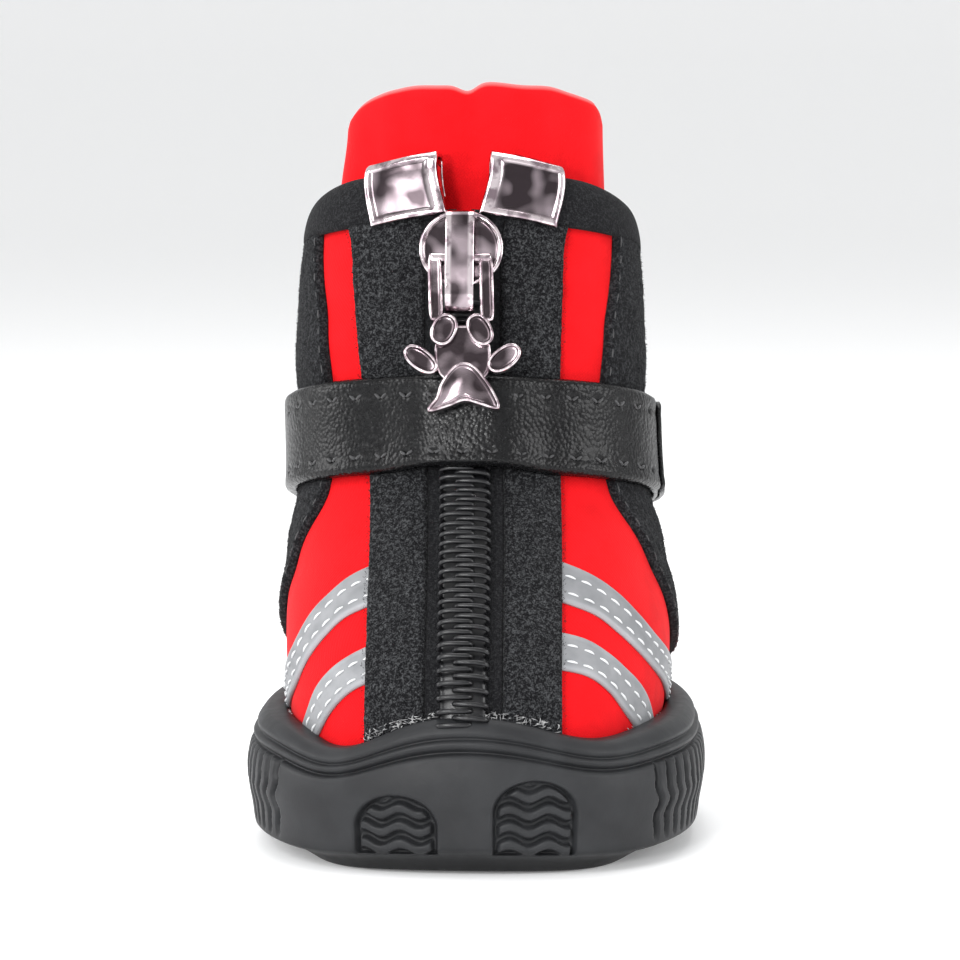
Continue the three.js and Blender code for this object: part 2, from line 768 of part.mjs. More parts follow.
// Binding round the rim, and the metal tips clamped over its two ends.
const bindingOff = gap + bindingThickness;
const bindingSection = [
  [gap, rimHeight - bindingWidth],
  [bindingOff, rimHeight - bindingWidth],
  [bindingOff, rimHeight + gap + bindingThickness],
  [-wall, rimHeight + gap + bindingThickness],
  [-wall, rimHeight + gap],
  [gap, rimHeight + gap],
];
const bindingStations = 34;
add(
  'binding',
  sweep(
    Array.from({ length: bindingStations + 1 }, (_, i) =>
      bindingSection.map(([off, height]) => {
        const edge = round(slitHalf(height) + 1, rimHeight);
        return skin(THREE.MathUtils.lerp(edge, 2 - edge, i / bindingStations), height, off);
      }),
    ),
    false,
  ),
  blackKnit,
);
const tipOff = bindingOff + gap;
const tipTop = rimHeight + bindingThickness + 2 * gap;
const tipInner = -wall - gap;
const tipSection = [
  [tipOff, rimHeight - bindingWidth],
  [tipOff + tipThickness, rimHeight - bindingWidth],
  [tipOff + tipThickness, tipTop + tipThickness],
  [tipInner - tipThickness, tipTop + tipThickness],
  [tipInner - tipThickness, rimHeight - 0.5 * bindingWidth],
  [tipInner, rimHeight - 0.5 * bindingWidth],
  [tipInner, tipTop],
  [tipOff, tipTop],
];
for (const { side, word } of sides) {
  add(
    `end_tip_${word}`,
    sweep(
      Array.from({ length: 5 }, (_, i) =>
        tipSection.map(([off, height]) =>
          skin(side * round(slitHalf(height) + (i / 4) * tipWidth, rimHeight), height, off),
        ),
      ),
      false,
    ),
    chrome,
  );
}

// Ankle strap: a ring that lifts over the zip, and its tail lapped over it at the side.
const coilFace = coilOff + coilHeight;
const strapReach = 7;
function strapOff(share, height) {
  const around = (share > 1 ? share - 2 : share) * sectionAt(height).girth;
  const over = 1 - THREE.MathUtils.smoothstep(Math.abs(around), 0.5 * coilWidth, 0.5 * coilWidth + strapReach);
  return THREE.MathUtils.lerp(gap + overlay, coilFace, over) + gap;
}
const strapTop = strapBottom + strapWidth;
const strapSection = [
  [0, strapBottom],
  [0.6, strapBottom],
  [1, strapBottom + strapEdge],
  [1, strapTop - strapEdge],
  [0.6, strapTop],
  [0, strapTop],
];
const strapStations = 44;
add(
  'ankle_strap',
  sweep(
    Array.from({ length: strapStations }, (_, i) =>
      strapSection.map(([layer, height]) => {
        const share = (2 * i) / strapStations - 1;
        return skin(share, height, strapOff(share, height) + layer * strapThickness);
      }),
    ),
    true,
  ),
  blackLeather,
);

// The tail, from its free end to where it goes under, as shares of the way round.
const strapTail = { start: 0.42, end: 0.8, stations: 14 };
const tailLift = strapThickness + gap;
add(
  'strap_tail',
  sweep(
    Array.from({ length: strapTail.stations + 1 }, (_, i) => {
      const share = THREE.MathUtils.lerp(strapTail.start, strapTail.end, i / strapTail.stations);
      const inset = i === 0 ? strapTailRound : 0;
      return strapSection.map(([layer, height]) => {
        const drawn = THREE.MathUtils.clamp(height, strapBottom + inset, strapTop - inset);
        return skin(share, drawn, strapOff(share, height) + tailLift + layer * strapThickness);
      });
    }),
    false,
  ),
  blackLeather,
);

// Pull loop: webbing folded over at the back, its legs between the sleeve and the upper. Rows run up the
// middle of one leg, over the fold and down the other: out is a share of loopBow from the middle between
// the legs, height a share of the loop's length.
const loopBase = rimHeight - loopHold;
const loopLength = loopRise + loopHold;
const loopMiddle = -wall - 1.5 * gap - loopThickness;
const loopRows = [
  { out: 0.33, height: 0 },
  { out: 0.33, height: 0.4 },
  { out: 0.9, height: 0.62 },
  { out: 1, height: 0.84 },
  { out: 0.6, height: 0.95 },
  { out: 0.1, height: 0.975 },
  { out: -0.4, height: 0.95 },
  { out: -0.5, height: 0.88 },
  { out: -0.33, height: 0.76 },
  { out: -0.33, height: 0.4 },
  { out: -0.33, height: 0 },
];
function loopOutline() {
  const line = loopRows.map((row) =>
    new THREE.Vector2(loopMiddle + row.out * loopBow * 0.5, loopBase + row.height * loopLength));
  const side = (sign) =>
    line.map((point, i) => {
      const ahead = line[Math.min(i + 1, line.length - 1)].clone().sub(line[Math.max(i - 1, 0)]).normalize();
      return point.clone().add(new THREE.Vector2(ahead.y, -ahead.x).multiplyScalar((sign * loopThickness) / 2));
    });
  return [...side(1), ...side(-1).reverse()];
}
const loopStations = 4;
add(
  'pull_loop',
  sweep(
    Array.from({ length: loopStations + 1 }, (_, i) => {
      const share = 1 + round((i / loopStations - 0.5) * loopWidth, rimHeight);
      return loopOutline().map((point) => skin(share, point.y, point.x));
    }),
    false,
  ),
  blackKnit,
);

// Slider: plate with side flanges and a bridge, on a frame that lies on the front of the boot.
const sliderOff = coilFace + gap;
const sliderOut = faceNormal(0, sliderHeight);
const sliderAcross = new THREE.Vector3(1, 0, 0);
const sliderUp = new THREE.Vector3().crossVectors(sliderOut, sliderAcross);
const sliderFrame = new THREE.Matrix4().makeBasis(sliderAcross, sliderUp, sliderOut);
sliderFrame.setPosition(facePoint(0, sliderHeight));

function oval(x, y, halfWidth, halfHeight) {
  const shape = new THREE.Shape();
  shape.absellipse(x, y, halfWidth, halfHeight, 0, 2 * Math.PI, false);
  return shape;
}
let slider = solidOf(
  extrude(oval(0, 0, sliderWidth / 2, sliderLength / 2), sliderThickness, 10).translate(0, 0, sliderOff),
);

// The flanges stand over the front strips, or over the metal tips if the slider is run up between them.
const flangeLength = 0.5 * sliderLength;
const flangeMiddle = -0.08 * sliderLength;
const flangeTop = sliderHeight + flangeMiddle + flangeLength / 2;
const underFlange = flangeTop > rimHeight - bindingWidth ? tipOff + tipThickness : gap + overlay;
const flangeFoot = underFlange + gap;
const flangeDepth = sliderOff + sliderThickness / 2 - flangeFoot;
for (const { side } of sides) {
  const flange = new THREE.BoxGeometry(flangeThickness, flangeLength, flangeDepth)
    .translate(side * ((coilWidth + flangeThickness) / 2 + gap), flangeMiddle, flangeFoot + flangeDepth / 2);
  slider = slider.add(solidOf(flange));
}
const bridgeEnd = bridgeTop - bridgeLength;
const plateFace = sliderOff + sliderThickness;
const bridgeInside = plateFace + 2 * pinRadius + 2 * gap;
const bridgeOutside = bridgeInside + bridgeThickness;
// The bridge's side view: up along the slider, and out from it. Each corner is so many thicknesses from
// the bridge's top or end, and from the plate's face or the bridge's own inside or outside.
const bridgeCorner = (up, out) => new THREE.Vector2(up, out);
const thick = bridgeThickness;
const bridgeShape = new THREE.Shape([
  bridgeCorner(bridgeTop - 1.2 * thick, plateFace - 0.4 * thick),
  bridgeCorner(bridgeTop - 0.4 * thick, plateFace - 0.4 * thick),
  bridgeCorner(bridgeTop, bridgeInside - 0.3 * thick),
  bridgeCorner(bridgeTop - thick, bridgeOutside - 0.1 * thick),
  bridgeCorner(bridgeTop - 2.4 * thick, bridgeOutside),
  bridgeCorner(bridgeEnd + 2 * thick, bridgeOutside),
  bridgeCorner(bridgeEnd + 0.6 * thick, bridgeOutside - 0.5 * thick),
  bridgeCorner(bridgeEnd, plateFace + 0.4 * thick),
  bridgeCorner(bridgeEnd + 0.9 * thick, plateFace + 0.2 * thick),
  bridgeCorner(bridgeEnd + 1.6 * thick, bridgeInside),
  bridgeCorner(bridgeTop - 1.8 * thick, bridgeInside),
]);
const bridge = extrude(bridgeShape, bridgeWidth).translate(0, 0, -bridgeWidth / 2);
bridge.applyMatrix4(
  new THREE.Matrix4().makeBasis(
    new THREE.Vector3(0, 1, 0),
    new THREE.Vector3(0, 0, 1),
    new THREE.Vector3(1, 0, 0),
  ),
);
slider = slider.add(solidOf(bridge));
const sliderGeometry = geometryOf(slider);
sliderGeometry.applyMatrix4(sliderFrame);
add('zip_slider', sliderGeometry, chrome);

// Pull: pin through the bridge, two arms, and a paw of four toes and a pad with hollow faces.
const pivotUp = -0.22 * sliderLength;
const pivotOff = plateFace + gap + pinRadius;
const pin = new THREE.CylinderGeometry(pinRadius, pinRadius, forkWidth - forkArm, 8).rotateZ(Math.PI / 2);
let pull = solidOf(pin);
const forkEnd = pinRadius / 2 - forkLength;
for (const { side } of sides) {
  const arm = new THREE.BoxGeometry(forkArm, forkLength, forkThickness)
    .translate((side * (forkWidth - forkArm)) / 2, forkEnd + forkLength / 2, 0);
  pull = pull.add(solidOf(arm));
}
const neck = new THREE.BoxGeometry(forkWidth, forkArm / 2, forkThickness).translate(0, forkEnd + forkArm / 4, 0);
pull = pull.add(solidOf(neck));
// Toes and pad of the paw: centre and half sizes as shares of pawDrop.
const pawRows = [
  { x: -0.145, y: -0.575, halfWidth: 0.11, halfHeight: 0.14 },
  { x: 0.145, y: -0.575, halfWidth: 0.11, halfHeight: 0.14 },
  { x: -0.33, y: -0.79, halfWidth: 0.14, halfHeight: 0.11 },
  { x: 0.33, y: -0.79, halfWidth: 0.14, halfHeight: 0.11 },
  { x: 0, y: -1, halfWidth: 0.22, halfHeight: 0.19 },
  { x: -0.17, y: -1.09, halfWidth: 0.12, halfHeight: 0.12 },
  { x: 0.17, y: -1.09, halfWidth: 0.12, halfHeight: 0.12 },
];
function pawOval(row, shrink, depth, from) {
  const shape = oval(
    row.x * pawDrop,
    row.y * pawDrop,
    row.halfWidth * pawDrop - shrink,
    row.halfHeight * pawDrop - shrink,
  );
  return solidOf(extrude(shape, depth, 4).translate(0, 0, from));
}
for (const row of pawRows) pull = pull.add(pawOval(row, 0, pawThickness, -pawThickness / 2));
const web = oval(0, -0.77 * pawDrop, 0.26 * pawDrop, 0.2 * pawDrop);
pull = pull.add(solidOf(extrude(web, 0.5 * pawThickness, 8).translate(0, 0, -0.5 * pawThickness)));
for (const row of pawRows.slice(0, 5)) {
  pull = pull.subtract(pawOval(row, pawRim, pawThickness, 0.5 * pawThickness - pawRecess));
}
const pullGeometry = geometryOf(pull);
pullGeometry.applyMatrix4(new THREE.Matrix4().makeRotationX(-THREE.MathUtils.degToRad(pullTilt)));
pullGeometry.applyMatrix4(new THREE.Matrix4().makeTranslation(0, pivotUp, pivotOff).premultiply(sliderFrame));
add('pull_tab', pullGeometry, chrome);

export default boot;
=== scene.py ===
# %% [markdown]
# Dog boot in red neoprene with a front zip, black fuzzy strips and a moulded rubber cup sole.
# The boot is already built as plain solids. This lesson gives every solid its real surface:
# knit, pile, teeth, rubber relief, metal rims. All shapes are numpy grids on one curved skin.

# %% Load the frame
import bpy
import numpy as np
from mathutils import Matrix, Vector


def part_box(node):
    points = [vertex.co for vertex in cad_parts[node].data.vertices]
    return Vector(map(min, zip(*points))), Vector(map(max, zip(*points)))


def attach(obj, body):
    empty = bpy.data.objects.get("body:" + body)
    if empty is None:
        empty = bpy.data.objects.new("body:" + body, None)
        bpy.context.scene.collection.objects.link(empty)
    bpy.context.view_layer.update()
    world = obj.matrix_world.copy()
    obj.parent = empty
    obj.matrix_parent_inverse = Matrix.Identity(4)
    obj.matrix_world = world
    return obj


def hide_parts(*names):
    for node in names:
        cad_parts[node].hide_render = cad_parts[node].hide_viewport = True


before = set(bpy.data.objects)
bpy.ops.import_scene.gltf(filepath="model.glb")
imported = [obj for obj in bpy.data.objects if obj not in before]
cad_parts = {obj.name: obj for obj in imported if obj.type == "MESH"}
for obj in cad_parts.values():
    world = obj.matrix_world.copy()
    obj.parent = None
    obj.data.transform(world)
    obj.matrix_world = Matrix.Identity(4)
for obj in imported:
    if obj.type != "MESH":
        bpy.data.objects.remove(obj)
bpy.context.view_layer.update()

# %% [markdown]
# Lengths are millimetres, as on the maker's pattern, and become metres only when a mesh is made.
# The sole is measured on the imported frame. What the frame can't tell is written once here.

# %% Sizes
METRES = 0.001
rng = np.random.default_rng(7)


def node_size(node):
    """Length of a node's box along X, Y and Z in millimetres."""
    low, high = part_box(node)
    return np.array(high - low) / METRES


SOLE_WIDTH, SOLE_LENGTH, _ = node_size("outsole")
WALL = 2
RIM = 78.2
BALL_WIDTH = 45.8
TOE_REACH = 30.9
HEEL_REACH = 31.6
COLLAR_LEAN = 1.7
SOLE_RIM = 16
CLOTH_FOOT = 4.8
TOE_PEAK = 2.6
TREAD = 4.5
SLEEVE_RISE = 11
BINDING_WIDTH = 7
STRIP_INNER = 4.3
STRIP_WIDTH = 7
STRIP_THICK = 1.1
STRAP_LOW = 43
STRAP_WIDTH = 11.6
STRAP_THICK = 1.3
COIL_LOW = 1.1
COIL_TALL = 1.7
COIL_WIDTH = 6.2
COIL_PITCH = 1.4
SLIDER_HEIGHT = 69
print("sole", round(SOLE_WIDTH, 1), "x", round(SOLE_LENGTH, 1), "mm")

# %% [markdown]
# The upper is shaped over a last, so its skin is a stack of tilted ovals from the sole to the top of
# the sleeve. A cubic through the table's rows gives the oval at any height. Loft tools or a cage under
# a Subdivision modifier could do it too, but a function can be asked for any point, so that every
# strip, stripe and stitch can be laid on the same skin.

# %% The table of ovals
OVAL_NAMES = ("front", "back", "half", "toe", "heel", "widest", "round", "lean")
OVAL_SCALES = (RIM, RIM, BALL_WIDTH / 2, TOE_REACH, HEEL_REACH, HEEL_REACH, 1, -COLLAR_LEAN)
OVAL_ROWS = [
    (0.061, 0.061, 0.943, -0.977, 0.962, -0.09, 2.5, 0),
    (0.141, 0.141, 0.956, -1, 0.981, -0.09, 2.5, 0),
    (0.217, 0.198, 0.974, -1, 0.987, -0.06, 2.45, 0),
    (0.294, 0.253, 1, -0.926, 0.987, 0, 2.4, 0.05),
    (0.384, 0.307, 0.996, -0.731, 0.981, 0.08, 2.35, 0.2),
    (0.473, 0.371, 0.943, -0.505, 0.975, 0.16, 2.3, 0.4),
    (0.563, 0.442, 0.886, -0.324, 0.968, 0.25, 2.3, 0.65),
    (0.71, 0.588, 0.878, -0.246, 0.968, 0.32, 2.35, 0.9),
    (0.857, 0.746, 0.873, -0.155, 0.981, 0.38, 2.4, 1),
    (1, 0.895, 0.821, -0.065, 1, 0.43, 2.4, 1),
    (1.176, 1.102, 0.812, -0.032, 1, 0.45, 2.35, 1),
]
OVALS = {name: np.array([row[i] for row in OVAL_ROWS]) * OVAL_SCALES[i] for i, name in enumerate(OVAL_NAMES)}


def through(keys, values, at):
    """Cubic through rows: each row's slope is that of its two neighbours, and it runs on straight outside."""
    keys, values, at = np.asarray(keys, float), np.asarray(values, float), np.asarray(at, float)
    last = len(keys) - 2
    low = np.clip(np.searchsorted(keys, at) - 1, 0, last)
    before = np.maximum(low - 1, 0)
    after = np.minimum(low + 2, last + 1)
    span = keys[low + 1] - keys[low]
    start = (values[low + 1] - values[before]) / (keys[low + 1] - keys[before]) * span
    end = (values[after] - values[low]) / (keys[after] - keys[low]) * span
    part = (at - keys[low]) / span
    t = np.clip(part, 0, 1)
    inside = values[low] * (1 + 2 * t) * (1 - t) ** 2 + start * t * (1 - t) ** 2
    inside = inside + values[low + 1] * t * t * (3 - 2 * t) - end * t * t * (1 - t)
    return inside + start * np.minimum(part, 0) + end * np.maximum(part - 1, 0)


def smoothstep(value, low, high):
    """0 below low, 1 above high, and a soft S between."""
    t = np.clip((value - low) / (high - low), 0, 1)
    return t * t * (3 - 2 * t)


def mix(low, high, part):
    """Straight blend: low at part 0, high at part 1."""
    return low + (high - low) * part


print(len(OVAL_ROWS), "ovals, rim girth row", round(float(OVALS["half"][-2]), 1), "mm half width")

# %% Points of an oval
TURNS = np.linspace(0, np.pi, 1441)


def oval(turn, half, toe, heel, widest, toe_round, heel_round):
    """Superellipse by halves: x is half * sin(turn)^(2/n), y is widest + reach * cos(turn)^(2/n)."""
    ahead = turn <= np.pi / 2
    power = 2 / np.where(ahead, toe_round, heel_round)
    reach = np.where(ahead, toe, heel) - widest
    x = half * np.abs(np.sin(turn)) ** power
    y = widest + reach * np.abs(np.cos(turn)) ** power
    return x, y


def turns_by_share(x, y, shares):
    """Turn at each share of the path's length, and that length."""
    run = np.concatenate([[0], np.cumsum(np.hypot(np.diff(x), np.diff(y)))])
    return np.interp(shares * run[-1], run, TURNS), run[-1]


STORE_HEIGHTS = np.linspace(0, 100, 201)
STORE_SHARES = np.linspace(0, 1, 361)
STORED = {name: through(OVALS["front"], OVALS[name], STORE_HEIGHTS) for name in OVAL_NAMES}
STORE_TURNS = np.zeros((len(STORE_HEIGHTS), len(STORE_SHARES)))
STORE_GIRTHS = np.zeros(len(STORE_HEIGHTS))
for level in range(len(STORE_HEIGHTS)):
    row = {name: STORED[name][level] for name in OVAL_NAMES}
    path = oval(TURNS, row["half"], row["toe"], row["heel"], row["widest"], row["round"], row["round"])
    STORE_TURNS[level], STORE_GIRTHS[level] = turns_by_share(*path, STORE_SHARES)
print("girth at the rim", round(2 * float(np.interp(RIM, STORE_HEIGHTS, STORE_GIRTHS)), 1), "mm")

# %% The skin
OPENING_PEAK = 1.4
OPENING_REACH = 8


def girth(height):
    """Half the way round at a height, from the middle of the front to the middle of the back."""
    return np.interp(height, STORE_HEIGHTS, STORE_GIRTHS)


def around_share(mm, height):
    """Millimetres round from the front centre line, as a share of the way to the back."""
    return mm / girth(height)


def wrap(share):
    """Share brought into -1 to 1, so that a line may run on past the back."""
    return (np.asarray(share, float) + 1) % 2 - 1


def face(share, height):
    """Point of the upper's face: share is 0 in front and 1 behind (+X side), height is read in front.
    x and y come from the oval at that height, and z leans from its front height to its back height."""
    share, height = np.broadcast_arrays(wrap(share), np.asarray(height, float))
    level = np.clip(height / STORE_HEIGHTS[1], 0, len(STORE_HEIGHTS) - 1.001)
    spot = np.clip(np.abs(share) * (len(STORE_SHARES) - 1), 0, len(STORE_SHARES) - 1.001)
    i, j = level.astype(int), spot.astype(int)
    a, b = level - i, spot - j
    low = mix(STORE_TURNS[i, j], STORE_TURNS[i, j + 1], b)
    high = mix(STORE_TURNS[i + 1, j], STORE_TURNS[i + 1, j + 1], b)
    at = {name: through(OVALS["front"], OVALS[name], height) for name in OVAL_NAMES}
    x, y = oval(mix(low, high, a), at["half"], at["toe"], at["heel"], at["widest"], at["round"], at["round"])
    back = (y - at["toe"]) / (at["heel"] - at["toe"])
    crest = OPENING_PEAK * np.exp(-((share * girth(height) / OPENING_REACH) ** 2))
    rise = smoothstep(height, RIM - 2 * BINDING_WIDTH, RIM)
    fall = smoothstep(height, RIM + 3, RIM + SLEEVE_RISE)
    z = mix(at["front"], at["back"], back) + crest * rise * (1 - fall)
    return np.stack([at["lean"] + np.sign(share) * x, y, z], axis=-1)


def unit(vectors):
    """The same directions with length one."""
    return vectors / np.maximum(np.linalg.norm(vectors, axis=-1, keepdims=True), 1e-9)


def outward(share, height):
    """Normal of the skin, by the difference of near points across and up."""
    across = face(share + 0.004, height) - face(share - 0.004, height)
    up = face(share, height + 0.15) - face(share, height - 0.15)
    return unit(np.cross(across, up))


def skin(share, height, off):
    """Point that stands off the skin by so many millimetres."""
    share, height, off = np.broadcast_arrays(np.asarray(share, float), height, off)
    return face(share, height) + outward(share, height) * off[..., None]


print("front of the rim at", np.round(skin(0.0, RIM, 0.0), 1))

# %% [markdown]
# Worn cloth is never flat. The neoprene swells a little above and below the strap that cinches it,
# and breaks in soft troughs where the ankle bends. Displacement textures could do this, but the
# troughs are few, so each is listed: where it starts and ends on the skin, how deep, how wide.

# %% Creases
# Each row: share and height of one end, share and height of the other, depth, width.
CREASES = [
    (0.2, 40.5, 0.42, 37.5, 0.34, 2.2),
    (-0.2, 40, -0.44, 38.5, 0.36, 2.4),
    (0.3, 33.5, 0.5, 35, 0.24, 2.6),
    (-0.27, 32.5, -0.5, 34.5, 0.22, 2.4),
    (0.6, 40, 0.98, 36.5, 0.4, 2.8),
    (-0.62, 38.5, -0.96, 41, 0.36, 2.6),
    (0.23, 62.5, 0.4, 60, 0.22, 2.4),
    (-0.22, 61, -0.38, 65, 0.2, 2.6),
    (0.62, 63, 0.9, 60, 0.3, 3),
    (-0.6, 66.5, -0.92, 62, 0.26, 3),
]


def relief(share, height):
    """Swelling beside the strap, less a trough per crease: depth * exp(-(distance to its line / width)^2)."""
    share = wrap(share)
    across = share * girth(height)
    swell = 0.35 * np.exp(-(((height - STRAP_LOW + 4.5) / 3.2) ** 2))
    swell = swell + 0.3 * np.exp(-(((height - STRAP_LOW - STRAP_WIDTH - 4.5) / 3.6) ** 2))
    lift = swell * smoothstep(np.abs(share), 0.16, 0.3)
    for start, low, end, high, depth, width in CREASES:
        line = np.array([end * girth(high) - start * girth(low), high - low])
        offset = np.stack([across - start * girth(low), height - low], axis=-1)
        part = np.clip(offset @ line / (line @ line), 0, 1)
        miss = np.linalg.norm(offset - part[..., None] * line, axis=-1)
        ends = np.sin(np.pi * np.clip(part, 0.03, 0.97)) ** 0.5
        lift = lift - depth * ends * np.exp(-((miss / width) ** 2))
    return lift * smoothstep(height, SOLE_RIM + 2, SOLE_RIM + 10) * (1 - smoothstep(height, RIM - 9, RIM - 5))


print(len(CREASES), "creases placed by hand")

# %% [markdown]
# Every piece is made of a few kinds of grid: a wall with two faces, a stack of rings, and a bundle of
# tubes. Each returns arrays of points and faces, so that many small things join into one mesh.

# %% Parts of meshes
def part_of(points, quads, tris=None, cloth=None):
    """Arrays of one part, turned outward: its signed volume, summed over the faces, has to be positive."""
    points = np.asarray(points, float).reshape(-1, 3)
    quads = np.asarray(quads, int).reshape(-1, 4)
    tris = np.zeros((0, 3), int) if tris is None else np.asarray(tris, int).reshape(-1, 3)
    flat = np.concatenate([quads[:, [0, 1, 2]], quads[:, [0, 2, 3]], tris])
    middle = points - points.mean(axis=0)
    volume = np.einsum("ij,ij->", middle[flat[:, 0]], np.cross(middle[flat[:, 1]], middle[flat[:, 2]]))
    if volume < 0:
        quads, tris = quads[:, ::-1], tris[:, ::-1]
    cloth = np.zeros_like(points) if cloth is None else np.asarray(cloth, float).reshape(-1, 3)
    return points, quads, tris, cloth


def grid_quads(rows, columns, closed=False, start=0):
    """Faces of a grid whose points run along each row; a closed grid joins its last column to its first."""
    i = np.arange(rows - 1)[:, None]
    j = np.arange(columns if closed else columns - 1)[None, :]
    after = (j + 1) % columns
    corners = [i * columns + j, i * columns + after, (i + 1) * columns + after, (i + 1) * columns + j]
    filled = [np.broadcast_to(corner, (rows - 1, j.size)) for corner in corners]
    return start + np.stack(filled, axis=-1).reshape(-1, 4)


def bridge(first, second):
    """Faces between two equal lines of point numbers."""
    return np.stack([first[:-1], first[1:], second[1:], second[:-1]], axis=-1)


def wall(outer, inner, closed=False, cloth=None):
    """Two grids of points, outer and inner, joined round their borders into one closed wall."""
    rows, columns = outer.shape[:2]
    count = rows * columns
    numbers = np.arange(count).reshape(rows, columns)
    if closed:
        numbers = np.concatenate([numbers, numbers[:, :1]], axis=1)
    quads = [grid_quads(rows, columns, closed), grid_quads(rows, columns, closed, count)[:, ::-1]]
    quads.append(bridge(numbers[0], numbers[0] + count)[:, ::-1])
    quads.append(bridge(numbers[-1], numbers[-1] + count))
    if not closed:
        quads.append(bridge(numbers[:, 0], numbers[:, 0] + count))
        quads.append(bridge(numbers[:, -1], numbers[:, -1] + count)[:, ::-1])
    points = np.concatenate([outer.reshape(-1, 3), inner.reshape(-1, 3)])
    if cloth is not None:
        cloth = np.concatenate([cloth.reshape(-1, 3)] * 2)
    return part_of(points, np.concatenate(quads), None, cloth)


def stack(rings, cloth=None):
    """Rings of points joined one to the next, with a fan to the middle of the first and of the last."""
    rows, columns = rings.shape[:2]
    count = rows * columns
    ends = np.stack([rings[0].mean(axis=0), rings[-1].mean(axis=0)])
    points = np.concatenate([rings.reshape(-1, 3), ends])
    first = np.arange(columns)
    after = (first + 1) % columns
    low = np.stack([np.full(columns, count), after, first], axis=-1)
    high = np.stack([np.full(columns, count + 1), count - columns + first, count - columns + after], axis=-1)
    if cloth is not None:
        middles = [cloth[0].mean(axis=0)[None], cloth[-1].mean(axis=0)[None]]
        cloth = np.concatenate([cloth.reshape(-1, 3), *middles])
    return part_of(points, grid_quads(rows, columns, True), np.concatenate([low, high]), cloth)


def tubes(centres, across, radii, sides=8, flat=1.0):
    """Tubes along paths: centres is (tube, station, 3); a ring of points stands square to each station."""
    count, stations = centres.shape[:2]
    ahead = unit(np.gradient(centres, axis=1))
    right = unit(np.cross(ahead, np.broadcast_to(across, centres.shape)))
    up = np.cross(right, ahead)
    turn = 2 * np.pi * np.arange(sides) / sides
    spokes = right[:, :, None] * np.cos(turn)[:, None] + flat * up[:, :, None] * np.sin(turn)[:, None]
    radii = np.broadcast_to(radii, (count, stations))[:, :, None, None]
    points = (centres[:, :, None] + spokes * radii).reshape(-1, 3)
    ring = grid_quads(stations, sides, True)
    size = stations * sides
    starts = np.arange(count) * size
    quads = (ring[None] + starts[:, None, None]).reshape(-1, 4)
    tips = np.concatenate([centres[:, 0], centres[:, -1]])
    first = np.arange(sides)
    after = (first + 1) % sides
    low = np.stack([np.zeros(sides, int), after, first], axis=-1)
    high = np.stack([np.zeros(sides, int), first, after], axis=-1)
    base = count * size
    near = low[None] + starts[:, None, None]
    near[:, :, 0] = (base + np.arange(count))[:, None]
    far = high[None] + (starts + size - sides)[:, None, None]
    far[:, :, 0] = (base + count + np.arange(count))[:, None]
    tris = np.concatenate([near.reshape(-1, 3), far.reshape(-1, 3)])
    return part_of(np.concatenate([points, tips]), quads, tris)


print("walls, stacks and tubes are ready")

# %% From parts to pieces
PIECES = {}


def piece(name, parts, finish, nodes, body="boot"):
    """One object from joined parts, in metres, smooth shaded, on its body in place of its CAD nodes."""
    starts = np.cumsum([0] + [len(part[0]) for part in parts])[:-1]
    points = np.concatenate([part[0] for part in parts]) * METRES
    quads = np.concatenate([part[1] + start for part, start in zip(parts, starts)])
    tris = np.concatenate([part[2] + start for part, start in zip(parts, starts)])
    cloth = np.concatenate([part[3] for part in parts])
    mesh = bpy.data.meshes.new(name)
    mesh.vertices.add(len(points))
    mesh.vertices.foreach_set("co", points.ravel())
    mesh.loops.add(quads.size + tris.size)
    mesh.loops.foreach_set("vertex_index", np.concatenate([quads.ravel(), tris.ravel()]))
    mesh.polygons.add(len(quads) + len(tris))
    corners = np.concatenate([np.arange(len(quads)) * 4, quads.size + np.arange(len(tris)) * 3])
    mesh.polygons.foreach_set("loop_start", corners)
    mesh.update(calc_edges=True)
    mesh.polygons.foreach_set("use_smooth", np.ones(len(corners), bool))
    layer = mesh.attributes.new("cloth", "FLOAT_VECTOR", "POINT")
    layer.data.foreach_set("vector", cloth.ravel())
    mesh.materials.append(finish)
    made = bpy.data.objects.new(name, mesh)
    bpy.context.scene.collection.objects.link(made)
    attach(made, body)
    if nodes:
        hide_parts(*nodes)
    PIECES[name] = len(quads) * 2 + len(tris)
    print(name, PIECES[name], "triangles")
    return made


# %% [markdown]
# A finish is a Principled shader whose colour, roughness and bump come from small expressions.
# Wiring each Math node by hand hides the idea, so a Wire stands for one output and adds the nodes
# when it is added, multiplied or compared, as a number would be.

# %% Shader maths
class Wire:
    """An output of a node. Arithmetic on it adds Math nodes to its tree."""

    def __init__(self, tree, output):
        self.tree = tree
        self.output = output

    def sum_of(self, operation, *others):
        """A Math node of any operation, with this wire as its first input."""
        node = self.tree.nodes.new("ShaderNodeMath")
        node.operation = operation
        for socket, value in zip(node.inputs, (self, *others)):
            plug(self.tree, value, socket)
        return Wire(self.tree, node.outputs[0])

    def __add__(self, other):
        return self.sum_of("ADD", other)

    __radd__ = __add__

    def __sub__(self, other):
        return self.sum_of("SUBTRACT", other)

    def __rsub__(self, other):
        return (self * -1) + other

    def __mul__(self, other):
        return self.sum_of("MULTIPLY", other)

    __rmul__ = __mul__

    def __truediv__(self, other):
        return self.sum_of("DIVIDE", other)

    def between(self, low, high):
        """0 below low, 1 above high."""
        return ((self - low) / (high - low)).sum_of("MINIMUM", 1).sum_of("MAXIMUM", 0)


def plug(tree, value, socket):
    """A wire is linked to the socket, and anything else is set on it."""
    if isinstance(value, Wire):
        tree.links.new(value.output, socket)
    else:
        socket.default_value = value


